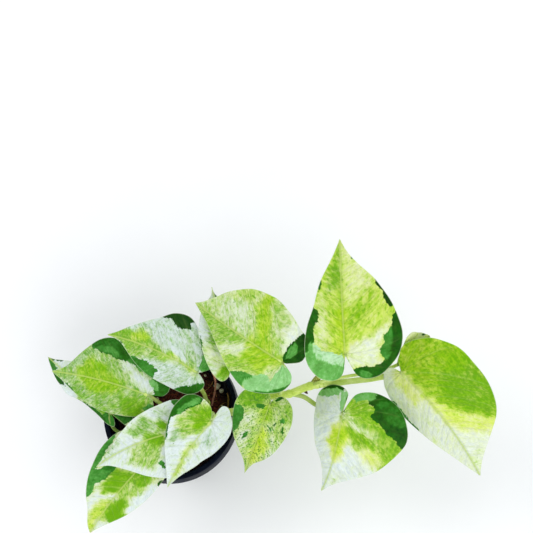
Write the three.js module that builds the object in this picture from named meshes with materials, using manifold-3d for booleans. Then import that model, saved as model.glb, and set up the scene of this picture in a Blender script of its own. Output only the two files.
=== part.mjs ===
// A potted variegated pothos: a black nursery pot with a folded rim, its potting mix,
// a main vine that runs out over the right rim, three short rooted stems, and thirteen
// heart-shaped leaves, each grown in one piece with its petiole.
//
// Millimetres and degrees. +Z is up, +X runs along the vine, and the front is -Y.
// The origin is the centre of the pot's base, on the surface that it stands on.

import * as THREE from 'three';
import { mergeVertices } from 'three/addons/utils/BufferGeometryUtils.js';
import Module from 'manifold-3d';

const wasm = await Module();
wasm.setup();

// Pot
const POT_HEIGHT = 88;
const POT_BASE_RADIUS = 38;
const POT_WALL = 1.2;
const POT_FLOOR = 1.6;
const POT_FOOT = 1.5;
const RIM_OUTER_RADIUS = 51.4;
const RIM_INNER_RADIUS = 47.8;
const RIM_THICKNESS = 1.4;
const RIM_EDGE = 0.8;
const SKIRT_BOTTOM_RADIUS = 53.2;
const SKIRT_DEPTH = 13.5;
const POT_SIDES = 48;
const DRAIN_HOLES = 6;
const DRAIN_HOLE_RADIUS = 4.5;
const DRAIN_HOLE_CIRCLE = 28;
const DRAIN_HOLE_SIDES = 16;

// Potting mix
const SOIL_TOP = 62;
const SOIL_RINGS = 7;
const SOIL_RELIEF = 1.1;
const LUMP_SIZE = 9;
const CRUMB_SIZE = 4.5;
const CRUMB_SHARE = 0.3;

// Every piece stays this far from the next
const CLEARANCE = 0.3;

// Stems: the points that each axis passes through, from its foot in the mix
const STEM_SIDES = 10;
const STEMS = [
  {
    name: 'vine', radius: 3, sides: STEM_SIDES, steps: 26,
    path: [
      [34, 6, 36], [37.4, 1.8, 62], [40.3, -0.8, 78], [45.2, -1.4, 91.5], [52.2, -0.4, 95.5],
      [58.3, 2.6, 98], [66, 6.6, 101], [75, 8.9, 103.5], [84, 9.6, 106], [90, 9.8, 108.5],
      [103, 14.1, 113], [109.5, 15.5, 115.2], [116, 16.2, 117],
    ],
  },
  {
    name: 'stem_back', radius: 2.6, sides: STEM_SIDES, steps: 6,
    path: [[25, 5, 36], [26, 7, 62], [27, 9, 77]],
  },
  {
    name: 'stem_front', radius: 2.8, sides: STEM_SIDES, steps: 6,
    path: [[17, -3, 34], [18, -3, 62], [19, -4, 81]],
  },
  {
    name: 'stem_left', radius: 2.6, sides: STEM_SIDES, steps: 6,
    path: [[4, -3, 36], [3.5, -2.5, 62], [2.7, -1.5, 77]],
  },
  {
    name: 'aerial_root', radius: 0.8, sides: 6, steps: 10,
    path: [[30, 8, 42], [30, 9, 62], [33, 17, 76], [34, 24, 92], [32, 29, 103]],
  },
];

// Leaves
const BLADE_THICKNESS = 0.7;
const BLADE_ROWS = 14;
const BLADE_COLUMNS = 4;
const BASAL_SHARE = 0.26; // of a margin's length: the lobe behind the petiole
const RIB_LEAN = 1.15; // how fast the side ribs' feet move up the midrib
const CURL_REACH = 40; // a margin has turned by its curl at this distance out
const RIPPLE_HEIGHT = 1.1;
const RIPPLE_WAVES = 2.5;
const PETIOLE_SIDES = 8;
const PETIOLE_STEPS = 9;
const PETIOLE_RUN = 3; // how far it runs on under the midrib, in petiole radii

// junction is where the petiole meets the blade. heading is the compass of the tip seen
// from above, 0 along +X and 90 along +Y. rise is the midrib's slope at the junction,
// droop how far it has bent down at the tip, roll its lean to the left, bow the sideways
// bulge of the midrib, and heel how far the lobes hang behind the junction.
// A half has its fold from the midrib, its curl, and its margin from the notch to the
// tip as [distance along the midrib, distance out].
const LEAVES = [
  {
    name: 'leaf_runner_top',
    junction: [127.6, 27.2, 168.5], heading: 90, length: 89.5,
    rise: 6, droop: 26, roll: 0, bow: 1, heel: 16, phase: 20,
    left: {
      fold: 6, curl: -34,
      margin: [
        [-7, 0.8], [-12.3, 1.4], [-16.5, 4], [-18.4, 10], [-16.5, 18], [-10, 24.4], [-2, 27.3],
        [8, 27.5], [20, 25], [34, 20], [52, 15], [72, 6],
      ],
    },
    right: {
      fold: 10, curl: -18,
      margin: [
        [-10, 5], [-15, 9], [-16.6, 15], [-14.4, 23.6], [-8.5, 30.5], [-1, 36.5], [8, 40],
        [19, 40], [37, 34], [54, 24], [72, 8],
      ],
    },
    petiole: { radius: 1.9, path: [[110, 17.5, 115], [113, 21, 121], [118, 22.2, 133], [124, 24.6, 152]] },
    tint: 0xa9c53a,
  },
  {
    name: 'leaf_runner_right',
    junction: [171, 20, 138], heading: -53, length: 91,
    rise: 0, droop: 22, roll: 4, bow: 3, heel: 10, phase: 200,
    left: {
      fold: 2, curl: -10,
      margin: [
        [-8, 4], [-15, 15], [-8, 32], [8, 43], [26, 44.5], [47, 42], [64, 33.5], [76, 16.5], [84, 6],
      ],
    },
    right: {
      fold: -44, curl: -20,
      margin: [[-8, 4], [-9, 12], [0, 21], [14, 27], [32, 27.5], [54, 21.5], [74, 10.5]],
    },
    petiole: {
      radius: 2.5,
      path: [
        [113, 15.9, 116.2], [123, 16.2, 117.4], [135, 17.8, 117.4], [150, 19.3, 118.5], [164, 20.5, 125],
      ],
    },
    tint: 0x9fc22c,
  },
  {
    name: 'leaf_runner_low',
    junction: [128, -8, 128], heading: -111, length: 72,
    rise: -22, droop: 42, roll: 14, bow: 4, heel: 20, phase: 90,
    left: {
      fold: -8, curl: -16,
      margin: [
        [-9, 2], [-18, 5], [-25, 17], [-24, 33], [-15, 44], [1, 50], [18, 43], [36, 31],
        [50, 14], [62, 4],
      ],
    },
    right: {
      fold: -22, curl: -10,
      margin: [
        [-8, 0.8], [-15, 1.2], [-18.6, 7], [-18.7, 15], [-15.5, 21.5], [-8.5, 26.5], [4, 27],
        [16, 26], [34, 20], [49, 8], [61, 3],
      ],
    },
    petiole: { radius: 1.9, path: [[91, 10.5, 108.5], [102, 7.8, 107.6], [111, 1.9, 107.4], [120.5, -3.6, 115]] },
    tint: 0xbfd487,
  },
  {
    name: 'leaf_runner_young',
    junction: [171, 29, 122], heading: 41, length: 33,
    rise: 14, droop: 14, roll: 0, bow: 0, heel: 0, phase: 0,
    left: { fold: 46, curl: 40, margin: [[3, 4], [10, 9], [19, 11], [28, 7]] },
    right: { fold: 46, curl: 40, margin: [[3, 3], [10, 8], [19, 10], [28, 6]] },
    petiole: {
      radius: 1.3,
      path: [[107, 15, 114], [111.5, 16.2, 119.8], [118, 17.4, 122.2], [135, 21, 121.8], [156, 24.4, 121]],
    },
    tint: 0xc9d98c,
  },
  {
    name: 'leaf_arch_top',
    junction: [85, 22, 164], heading: 142, length: 85,
    rise: -2, droop: 28, roll: 0, bow: 2, heel: 20, phase: 250,
    left: {
      fold: -8, curl: -36,
      margin: [
        [-6.7, 1.7], [-11, 4], [-13.3, 9], [-11.3, 17.2], [-3.9, 24], [5, 28.5], [14, 30],
        [28, 26], [45, 17], [64, 7],
      ],
    },
    right: {
      fold: 8, curl: -18,
      margin: [
        [-5, 3], [-10, 10], [-6, 22], [5, 27], [18, 33], [34, 37], [52, 33], [66, 20], [77, 6],
      ],
    },
    petiole: { radius: 1.9, path: [[84.4, 9.7, 106], [84.8, 12.5, 120], [84.4, 17.5, 150]] },
    tint: 0x9dc53a,
  },
  {
    name: 'leaf_arch_low',
    junction: [76.5, 1.7, 113], heading: -112, length: 59.5,
    rise: -14, droop: 30, roll: 0, bow: 0, heel: 12, phase: 140,
    left: {
      fold: 26, curl: -18,
      margin: [[-5, 2], [-8, 7], [-7, 13], [-2, 19], [8, 22], [22, 20], [34, 15], [48, 4]],
    },
    right: {
      fold: 20, curl: -18,
      margin: [[-6, 3], [-9, 12], [-4, 21], [6, 25], [18, 23], [29, 18], [40, 10], [50, 3]],
    },
    petiole: { radius: 1.5, path: [[75, 8.9, 103.5], [75.5, 8, 108]] },
    tint: 0xb3c66a,
  },
  {
    name: 'leaf_back',
    junction: [48, 25, 138], heading: 104, length: 64,
    rise: 5, droop: 20, roll: 0, bow: 0, heel: 12, phase: 30,
    left: {
      fold: 10, curl: -16,
      margin: [[-7, 3], [-9, 9], [-2, 14], [12, 17], [30, 17], [46, 13], [58, 5]],
    },
    right: {
      fold: 10, curl: -16,
      margin: [[-7, 3], [-9, 9], [-2, 16], [12, 20], [30, 18], [46, 11], [58, 3]],
    },
    petiole: { radius: 1.6, path: [[67, 7.1, 101.4], [66, 11, 110], [57, 19, 127]] },
    tint: 0xc3d3a0,
  },
  {
    name: 'leaf_left_white',
    junction: [23, 22, 130], heading: 157, length: 79,
    rise: 4, droop: 30, roll: -6, bow: -3, heel: 12, phase: 300,
    left: {
      fold: -14, curl: -20,
      margin: [
        [-5, 2], [-9, 7], [-6, 14], [3, 19], [18, 20.5], [34, 20], [46, 16], [56, 10], [66, 3],
      ],
    },
    right: {
      fold: 2, curl: -14,
      margin: [
        [-5, 3], [-9, 9], [-3, 18], [9, 26], [21, 33], [34, 31], [46, 22], [60, 12], [70, 5],
      ],
    },
    petiole: { radius: 1.7, path: [[27, 9, 75], [26, 12.3, 92], [24.8, 14, 112]] },
    tint: 0xcddac4,
  },
  {
    name: 'leaf_left_lime',
    junction: [-14, 8, 114], heading: 165, length: 83,
    rise: 0, droop: 24, roll: -2, bow: -2, heel: 12, phase: 170,
    left: {
      fold: -26, curl: -16,
      margin: [[-4, 3], [-6, 9], [0, 15], [9, 21], [25, 24], [42, 23], [58, 16], [73, 6]],
    },
    right: {
      fold: -6, curl: -12,
      margin: [
        [-6, 1.6], [-11, 2.6], [-14, 8], [-11, 15], [1, 25], [16, 32], [32, 35], [48, 34],
        [60, 24], [72, 6],
      ],
    },
    petiole: { radius: 1.6, path: [[2.7, -1.6, 74], [-1.5, 0.6, 87], [-7, 4.4, 103]] },
    tint: 0x93bd3c,
  },
  {
    name: 'leaf_left_edge',
    junction: [-44.9, -2.4, 96], heading: 140, length: 81.5,
    rise: -8, droop: 22, roll: 0, bow: 0, heel: 12, phase: 60,
    left: {
      fold: -26, curl: -20,
      margin: [
        [-6, 2], [-9, 6], [-2, 8.5], [10, 8], [24, 8.6], [36, 11], [44, 12.8], [54, 11.4],
        [64, 8.4], [74, 4],
      ],
    },
    right: {
      fold: 6, curl: -10,
      margin: [
        [-9, 1], [-16, 1], [-18.5, 4], [-15, 10], [-4, 16], [12, 20], [30, 19], [46, 14],
        [59.5, 8.8], [74, 1.8],
      ],
    },
    petiole: {
      radius: 1.4,
      path: [[2.7, -1.8, 70], [-18, -14.5, 77], [-33.6, -17.6, 86], [-42.5, -13, 91], [-44.8, -7, 93.5]],
    },
    tint: 0xb9c8b4,
  },
  {
    name: 'leaf_front_low',
    junction: [-8, -32, 103], heading: -131, length: 83,
    rise: -8, droop: 28, roll: -4, bow: -2, heel: 10, phase: 220,
    left: {
      fold: -12, curl: -16,
      margin: [[-6, 3], [-9, 9], [-3, 15], [11, 19], [32, 20], [50, 16], [63, 10], [74, 4]],
    },
    right: {
      fold: 4, curl: -16,
      margin: [
        [-6, 3], [-10, 11], [-4, 22], [7, 30], [22, 32], [38, 29], [54, 22], [67, 12], [78, 5],
      ],
    },
    petiole: { radius: 1.6, path: [[18, -3, 68], [9, -13, 82], [-2, -25.5, 96]] },
    tint: 0x8cb83c,
  },
  {
    name: 'leaf_front_mid',
    junction: [17, -18, 117], heading: -160, length: 75,
    rise: 4, droop: 30, roll: 0, bow: -4, heel: 10, phase: 110,
    left: {
      fold: -4, curl: -18,
      margin: [[-6, 3], [-10, 10], [-6, 20], [6, 28], [22, 31], [38, 25], [52, 14], [64, 5]],
    },
    right: {
      fold: 6, curl: -16,
      margin: [[-6, 3], [-10, 10], [-8, 18], [2, 24], [18, 22], [34, 18], [50, 11], [65, 3]],
    },
    petiole: { radius: 1.6, path: [[18.5, -3.5, 73], [19, -8, 84], [22, -13.5, 104]] },
    tint: 0xcfdcc0,
  },
  {
    name: 'leaf_front_heart',
    junction: [34, -13, 128], heading: -122, length: 58,
    rise: -4, droop: 28, roll: -12, bow: -2, heel: 14, phase: 0,
    left: {
      fold: -22, curl: -22,
      margin: [
        [-7, 0.7], [-13, 1.4], [-15.2, 5.3], [-14, 9.6], [-7.2, 17.1], [5, 21], [19, 19],
        [33, 12], [47, 4],
      ],
    },
    right: {
      fold: -6, curl: -14,
      margin: [
        [-3, 1], [-8.7, 5.7], [-11.2, 15], [-10, 21.7], [-5, 26.5], [5, 28], [16, 25],
        [32, 17], [46, 7],
      ],
    },
    petiole: { radius: 1.6, path: [[18.8, -3.8, 75], [24, -3.5, 88], [31, -4, 106], [35, -7.5, 121]] },
    tint: 0xd8e2d0,
  },
];

const degrees = THREE.MathUtils.degToRad;
const vector = ([x, y, z]) => new THREE.Vector3(x, y, z);

// Solids

const MERGE_DISTANCE = 1e-4;

function solidFrom(geometry) {
  const bare = geometry.clone();
  bare.deleteAttribute('normal');
  bare.deleteAttribute('uv');
  const merged = mergeVertices(bare, MERGE_DISTANCE);
  return new wasm.Manifold(new wasm.Mesh({
    numProp: 3,
    vertProperties: Float32Array.from(merged.attributes.position.array),
    triVerts: Uint32Array.from(merged.index.array),
  }));
}

function meshFrom(solid, name, material) {
  const { vertProperties, triVerts } = solid.getMesh();
  const geometry = new THREE.BufferGeometry();
  geometry.setAttribute('position', new THREE.BufferAttribute(vertProperties, 3));
  geometry.setIndex(new THREE.BufferAttribute(triVerts, 1));
  geometry.computeVertexNormals();
  const mesh = new THREE.Mesh(geometry, material);
  mesh.name = name;
  return mesh;
}

// A profile of [radius, height] pairs from the axis back to the axis, turned about +Z
function latheSolid(profile) {
  const turned = new THREE.LatheGeometry(profile.map(([r, z]) => new THREE.Vector2(r, z)), POT_SIDES);
  turned.rotateX(Math.PI / 2);
  return solidFrom(turned);
}

// A round bar that follows a smooth curve through the points
function roundBar(points, radius, sides, steps) {
  const section = new THREE.Shape();
  for (let side = 0; side < sides; side += 1) {
    const turn = (2 * Math.PI * side) / sides;
    const corner = [radius * Math.cos(turn), radius * Math.sin(turn)];
    if (side === 0) section.moveTo(...corner);
    else section.lineTo(...corner);
  }
  section.closePath();
  const extrudePath = new THREE.CatmullRomCurve3(points.map(vector));
  return solidFrom(new THREE.ExtrudeGeometry(section, { steps, extrudePath, bevelEnabled: false }));
}

// Pot: a thin tapered wall whose rim folds outward and down into a short skirt

function innerRadiusAt(height) {
  const rise = (height - POT_FLOOR) / (POT_HEIGHT - POT_FLOOR);
  return THREE.MathUtils.lerp(POT_BASE_RADIUS - POT_WALL, RIM_INNER_RADIUS, rise);
}

function makePot() {
  const underRim = POT_HEIGHT - RIM_THICKNESS;
  const skirtBottom = POT_HEIGHT - SKIRT_DEPTH;
  let pot = latheSolid([
    [0, 0],
    [POT_BASE_RADIUS - POT_FOOT, 0],
    [POT_BASE_RADIUS, POT_FOOT],
    [innerRadiusAt(underRim) + POT_WALL, underRim],
    [RIM_OUTER_RADIUS - POT_WALL, underRim],
    [SKIRT_BOTTOM_RADIUS - POT_WALL, skirtBottom],
    [SKIRT_BOTTOM_RADIUS, skirtBottom],
    [RIM_OUTER_RADIUS, POT_HEIGHT - RIM_EDGE],
    [RIM_OUTER_RADIUS - RIM_EDGE, POT_HEIGHT],
    [RIM_INNER_RADIUS, POT_HEIGHT],
    [POT_BASE_RADIUS - POT_WALL, POT_FLOOR],
    [0, POT_FLOOR],
  ]);
  const drill = new THREE.CylinderGeometry(
    DRAIN_HOLE_RADIUS,
    DRAIN_HOLE_RADIUS,
    4 * POT_FLOOR, // longer than the floor is thick, so that it cuts right through
    DRAIN_HOLE_SIDES,
  );
  drill.rotateX(Math.PI / 2);
  drill.translate(DRAIN_HOLE_CIRCLE, 0, 0);
  for (let hole = 0; hole < DRAIN_HOLES; hole += 1) {
    const turn = (2 * Math.PI * (hole + 0.5)) / DRAIN_HOLES;
    pot = pot.subtract(solidFrom(drill.clone().rotateZ(turn)));
  }
  return pot;
}

// Potting mix: it fills the pot to below the rim, with a lumpy top and holes for the stems

function soilRelief(x, y) {
  const lumps = Math.sin(x / LUMP_SIZE) * Math.cos(y / LUMP_SIZE);
  const crumbs = Math.sin((x - y) / CRUMB_SIZE);
  return SOIL_RELIEF * THREE.MathUtils.lerp(lumps, crumbs, CRUMB_SHARE);
}

function makeSoil(stemCuts) {
  const bottom = POT_FLOOR + CLEARANCE;
  const sideGap = 2 * CLEARANCE;
  const topRadius = innerRadiusAt(SOIL_TOP) - sideGap;
  const profile = [[0, bottom], [innerRadiusAt(bottom) - sideGap, bottom]];
  for (let ring = SOIL_RINGS; ring >= 0; ring -= 1) {
    profile.push([(topRadius * ring) / SOIL_RINGS, SOIL_TOP]);
  }
  let soil = latheSolid(profile).warp((point) => {
    if (point[2] > SOIL_TOP / 2) point[2] += soilRelief(point[0], point[1]);
  });
  for (const cut of stemCuts) soil = soil.subtract(cut);
  return soil;
}

// Leaves

// The direction of the midrib, the leaf's left and its upper face at the junction
function leafFrame(leaf) {
  const heading = degrees(leaf.heading);
  const rise = degrees(leaf.rise);
  const forward = new THREE.Vector3(
    Math.cos(rise) * Math.cos(heading),
    Math.cos(rise) * Math.sin(heading),
    Math.sin(rise),
  );
  const left = new THREE.Vector3(-Math.sin(heading), Math.cos(heading), 0);
  left.applyAxisAngle(forward, degrees(leaf.roll));
  const up = new THREE.Vector3().crossVectors(forward, left);
  return { forward, left, up };
}

// A point of the blade: along the midrib, out from it on one half, and lifted off it
function bladePoint(leaf, frame, side, along, out, lift) {
  const heelBend = degrees(leaf.heel) / (leaf.length / 4); // the lobes take up a quarter length
  const droopBend = degrees(leaf.droop) / leaf.length;
  const bend = along < 0 ? heelBend : droopBend;
  const turned = bend * along;
  const ahead = bend ? Math.sin(turned) / bend : along;
  const sunk = bend ? (1 - Math.cos(turned)) / bend : 0;
  const share = THREE.MathUtils.clamp(along / leaf.length, 0, 1);
  const bulge = leaf.bow * 4 * share * (1 - share);

  const half = side > 0 ? leaf.left : leaf.right;
  const fold = degrees(half.fold);
  const curl = degrees(half.curl) / CURL_REACH;
  const spread = (Math.sin(fold + curl * out) - Math.sin(fold)) / curl;
  const raised = (Math.cos(fold) - Math.cos(fold + curl * out)) / curl + lift;

  const upHere = frame.up.clone().multiplyScalar(Math.cos(turned));
  upHere.addScaledVector(frame.forward, Math.sin(turned));
  return vector(leaf.junction)
    .addScaledVector(frame.forward, ahead)
    .addScaledVector(frame.up, -sunk)
    .addScaledVector(frame.left, bulge + side * spread)
    .addScaledVector(upHere, raised);
}

// One half as rows of points: each row is a rib that fans out from the midrib to the margin
function ribRows(leaf, frame, side) {
  const { margin } = side > 0 ? leaf.left : leaf.right;
  const outline = [[0, 0], ...margin, [leaf.length, 0]];
  const curve = new THREE.SplineCurve(outline.map(([along, out]) => new THREE.Vector2(along, out)));
  return curve.getSpacedPoints(BLADE_ROWS).map((end, row) => {
    const share = row / BLADE_ROWS;
    const climb = Math.max(0, (share - BASAL_SHARE) / (1 - BASAL_SHARE));
    const foot = leaf.length * climb ** RIB_LEAN;
    const wave = Math.sin(2 * Math.PI * RIPPLE_WAVES * share + degrees(leaf.phase) * side);
    const ripple = RIPPLE_HEIGHT * wave * Math.sin(Math.PI * share);
    return Array.from({ length: BLADE_COLUMNS + 1 }, (_, column) => {
      const reach = column / BLADE_COLUMNS;
      const along = THREE.MathUtils.lerp(foot, end.x, reach);
      return bladePoint(leaf, frame, side, along, Math.max(0, end.y) * reach, ripple * reach ** 2);
    });
  });
}

// The upper face as a sheet: both halves' ribs, joined to their neighbours by triangles
function bladeSheet(leaf) {
  const frame = leafFrame(leaf);
  const points = [];
  const numbers = new Map();
  const numberOf = (point) => {
    const key = point.toArray().map((value) => value.toFixed(3)).join(' ');
    if (!numbers.has(key)) numbers.set(key, points.push(point) - 1);
    return numbers.get(key);
  };
  const faces = [];
  for (const side of [1, -1]) {
    const rows = ribRows(leaf, frame, side).map((row) => row.map(numberOf));
    const addFace = (a, b, c) => {
      if (a === b || b === c || c === a) return;
      faces.push(side > 0 ? [a, b, c] : [a, c, b]);
    };
    for (let row = 0; row < BLADE_ROWS; row += 1) {
      for (let column = 0; column < BLADE_COLUMNS; column += 1) {
        const [near, nearOut] = rows[row].slice(column, column + 2);
        const [far, farOut] = rows[row + 1].slice(column, column + 2);
        addFace(near, far, farOut);
        addFace(near, farOut, nearOut);
      }
    }
  }
  return { points, faces };
}

// The sheet given its thickness: both faces are split alike, and a rim closes them
function thicken({ points, faces }, thickness) {
  const normals = points.map(() => new THREE.Vector3());
  for (const [a, b, c] of faces) {
    const ab = points[b].clone().sub(points[a]);
    const ac = points[c].clone().sub(points[a]);
    const facing = ab.cross(ac);
    for (const corner of [a, b, c]) normals[corner].add(facing);
  }
  const offset = (sign) => points.map((point, i) => (
    point.clone().addScaledVector(normals[i].clone().normalize(), (sign * thickness) / 2)
  ));
  const vertices = [...offset(1), ...offset(-1)];
  const under = points.length;
  const index = [];
  const used = new Set(faces.flatMap(([a, b, c]) => [`${a} ${b}`, `${b} ${c}`, `${c} ${a}`]));
  for (const [a, b, c] of faces) {
    index.push(a, b, c);
    index.push(under + a, under + c, under + b);
    for (const [from, to] of [[a, b], [b, c], [c, a]]) {
      if (used.has(`${to} ${from}`)) continue;
      index.push(to, from, under + from);
      index.push(to, under + from, under + to);
    }
  }
  const geometry = new THREE.BufferGeometry().setFromPoints(vertices);
  geometry.setIndex(index);
  return solidFrom(geometry);
}

// A leaf: the blade joined to its petiole, which is cut back clear of the stem it grew on
function makeLeaf(leaf, stemCuts) {
  const frame = leafFrame(leaf);
  const { radius, path } = leaf.petiole;
  const under = radius - BLADE_THICKNESS / 2;
  const seat = bladePoint(leaf, frame, 1, radius, 0, -under);
  const end = bladePoint(leaf, frame, 1, PETIOLE_RUN * radius, 0, -under);
  const points = [...path, seat.toArray(), end.toArray()];
  const blade = thicken(bladeSheet(leaf), BLADE_THICKNESS);
  let solid = blade.add(roundBar(points, radius, PETIOLE_SIDES, PETIOLE_STEPS));
  for (const cut of stemCuts) solid = solid.subtract(cut);
  return solid;
}

// Assembly

const plant = new THREE.Group();

const blackPlastic = new THREE.MeshStandardMaterial({ color: 0x14171f, roughness: 0.42, metalness: 0 });
const pottingMix = new THREE.MeshStandardMaterial({ color: 0x2c1610, roughness: 0.95, metalness: 0 });
const stemGreen = new THREE.MeshStandardMaterial({ color: 0xa3b75e, roughness: 0.5, metalness: 0 });
const rootBrown = new THREE.MeshStandardMaterial({ color: 0x8a5a44, roughness: 0.8, metalness: 0 });

const makeStem = ({ path, radius, sides, steps }) => roundBar(path, radius, sides, steps);
const stemCuts = STEMS.map((stem) => makeStem({ ...stem, radius: stem.radius + CLEARANCE }));

plant.add(meshFrom(makePot(), 'pot', blackPlastic));
plant.add(meshFrom(makeSoil(stemCuts), 'soil', pottingMix));
for (const stem of STEMS) {
  const material = stem.name === 'aerial_root' ? rootBrown : stemGreen;
  plant.add(meshFrom(makeStem(stem), stem.name, material));
}
for (const leaf of LEAVES) {
  const material = new THREE.MeshStandardMaterial({ color: leaf.tint, roughness: 0.45, metalness: 0 });
  plant.add(meshFrom(makeLeaf(leaf, stemCuts), leaf.name, material));
}

export default plant;
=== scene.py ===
"""A potted variegated pothos: a black nursery pot, its potting mix, the stems and thirteen leaves."""

import math

import bpy
import numpy as np
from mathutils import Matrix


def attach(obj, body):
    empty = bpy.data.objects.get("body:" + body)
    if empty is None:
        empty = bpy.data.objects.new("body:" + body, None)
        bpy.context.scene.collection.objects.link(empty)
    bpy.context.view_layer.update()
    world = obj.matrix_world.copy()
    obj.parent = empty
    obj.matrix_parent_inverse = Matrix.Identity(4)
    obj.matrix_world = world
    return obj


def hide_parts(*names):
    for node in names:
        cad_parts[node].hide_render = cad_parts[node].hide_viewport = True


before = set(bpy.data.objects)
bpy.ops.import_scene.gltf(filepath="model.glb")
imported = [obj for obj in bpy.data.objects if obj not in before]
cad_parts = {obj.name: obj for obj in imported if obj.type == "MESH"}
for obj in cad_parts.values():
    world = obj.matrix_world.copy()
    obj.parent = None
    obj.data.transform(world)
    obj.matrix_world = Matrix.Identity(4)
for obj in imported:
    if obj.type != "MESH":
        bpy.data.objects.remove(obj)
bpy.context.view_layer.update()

# View
# The plant stands on a pale table and is seen from in front and high above,
# close enough for its leaves to fill the picture.
EYE = (0.0739, -0.0903, 0.693)
LOOK_DOWN = 71  # degrees below level
SENSOR = 36
FOCAL_SHARE = 781 / 533  # focal length as a share of the picture's width

camera_data = bpy.data.cameras.new("view")
camera_data.sensor_width = SENSOR
camera_data.lens = SENSOR * FOCAL_SHARE
camera = bpy.data.objects.new("view", camera_data)
camera.location = EYE
camera.rotation_euler = (math.radians(90 - LOOK_DOWN), 0, 0)
bpy.context.scene.collection.objects.link(camera)
bpy.context.scene.camera = camera
bpy.context.scene.view_settings.view_transform = "Standard"

# Pot
# A thermoformed black plastic nursery pot: a thin tapered wall with faint stacking rings,
# a rim folded outward and down into a skirt, and six drain holes through its floor.
MM = 0.001
POT_HEIGHT = 88
POT_BASE_RADIUS = 38
POT_WALL = 1.2
POT_FLOOR = 1.6
POT_FOOT = 1.5
RIM_OUTER_RADIUS = 51.4
RIM_INNER_RADIUS = 47.8
RIM_THICKNESS = 1.4
SKIRT_BOTTOM_RADIUS = 53.2
SKIRT_DEPTH = 13.5
POT_SIDES = 144
POT_CREASE = 40  # degrees
CORNER_RADIUS = 0.7
CORNER_ROOM = 1 / 2.2  # the most of each side that a rounded corner takes
DRAIN_HOLES = 6
DRAIN_HOLE_CIRCLE = 28
DRAIN_HOLE_RADIUS = 4.5
DRAIN_HOLE_SIDES = 32
RING_HEIGHTS = (67, 71, 75)
RING_DEPTH = 0.35
PLASTIC_GLOSS_IOR = 1.1


class Field:
    """A value that varies over a surface. Plain sums on it add Math nodes to its material."""

    def __init__(self, finish, socket):
        self.finish = finish
        self.socket = socket

    def sum(self, operation, first, second):
        return self.finish.node("Math", {"operation": operation}, {0: first, 1: second})

    def __add__(self, other):
        return self.sum("ADD", self, other)

    def __radd__(self, other):
        return self.sum("ADD", other, self)

    def __sub__(self, other):
        return self.sum("SUBTRACT", self, other)

    def __rsub__(self, other):
        return self.sum("SUBTRACT", other, self)

    def __mul__(self, other):
        return self.sum("MULTIPLY", self, other)

    def __rmul__(self, other):
        return self.sum("MULTIPLY", other, self)


class Finish:
    """A material, and the nodes that give a surface its colour, gloss and relief."""

    def __init__(self, name):
        self.material = bpy.data.materials.new(name)
        self.material.use_nodes = True
        self.tree = self.material.node_tree
        self.shader = self.tree.nodes["Principled BSDF"]

    def node(self, kind, settings=None, values=None, output=0):
        made = self.tree.nodes.new("ShaderNode" + kind)
        for key, setting in (settings or {}).items():
            if key == "stops":
                for extra in setting[2:]:
                    made.color_ramp.elements.new(extra[0])
                for element, (place, tone) in zip(made.color_ramp.elements, setting):
                    element.position = place
                    element.color = colour(*tone)
            else:
                setattr(made, key, setting)
        for key, value in (values or {}).items():
            self.join(made.inputs[key], value)
        return Field(self, made.outputs[output])

    def join(self, socket, value):
        if isinstance(value, Field):
            self.tree.links.new(value.socket, socket)
        else:
            socket.default_value = value

    def wear(self, **values):
        for name, value in values.items():
            self.join(self.shader.inputs[name.replace("_", " ")], value)

    def place(self, *scale):
        """Object coordinates in millimetres, times a scale per axis."""
        spot = self.node("TexCoord", output=3)
        return self.stretch(spot, tuple(part / MM for part in scale))

    def stretch(self, spot, scale):
        return self.node("VectorMath", {"operation": "MULTIPLY"}, {0: spot, 1: scale})

    def noise(self, spot, scale, detail=3.0, rough=0.55):
        return self.node("TexNoise", None, {
            "Vector": spot, "Scale": scale, "Detail": detail, "Roughness": rough,
        })

    def step(self, value, low, high, bottom=0.0, top=1.0):
        """A smooth step from bottom to top as the value goes from low to high."""
        return self.node("MapRange", {"interpolation_type": "SMOOTHSTEP"}, {
            "Value": value, "From Min": low, "From Max": high, "To Min": bottom, "To Max": top,
        })

    def mix(self, first, second, share):
        """Two colours, each a field or its red, green and blue."""
        first, second = (tone if isinstance(tone, Field) else colour(*tone) for tone in (first, second))
        return self.node("Mix", {"data_type": "RGBA"}, {0: share, 6: first, 7: second}, output=2)

    def ramp(self, value, *stops):
        return self.node("ValToRGB", {"stops": stops}, {"Fac": value})

    def field(self, name):
        """The vertex field of that name."""
        return self.node("Attribute", {"attribute_name": name}, output=1)

    def part(self, vector, axis):
        return self.node("SeparateXYZ", None, {0: vector}, output=axis)

    def bump(self, height, depth):
        return self.node("Bump", None, {"Height": height, "Strength": 1.0, "Distance": depth * MM})


def colour(red, green, blue):
    """A colour as the eye reads it, each part 0 to 255, in the linear light of the shaders."""
    shares = (part / 255 for part in (red, green, blue))
    return (*(s / 12.92 if s <= 0.04045 else ((s + 0.055) / 1.055) ** 2.4 for s in shares), 1.0)


def make_piece(name, points, faces, materials, face_materials=None, crease=None, fields=None):
    """A smooth mesh from points in millimetres, with its named vertex fields."""
    mesh = bpy.data.meshes.new(name)
    mesh.from_pydata((np.asarray(points) * MM).tolist(), [], faces)
    for finish in materials:
        mesh.materials.append(finish.material)
    if face_materials is not None:
        mesh.polygons.foreach_set("material_index", face_materials)
    for key, values in (fields or {}).items():
        layer = mesh.attributes.new(key, "FLOAT_VECTOR", "POINT")
        layer.data.foreach_set("vector", np.asarray(values, np.float32).ravel())
    mesh.shade_smooth()
    if crease:
        mesh.set_sharp_from_angle(angle=math.radians(crease))
    piece = bpy.data.objects.new(name, mesh)
    bpy.context.scene.collection.objects.link(piece)
    return piece


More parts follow.
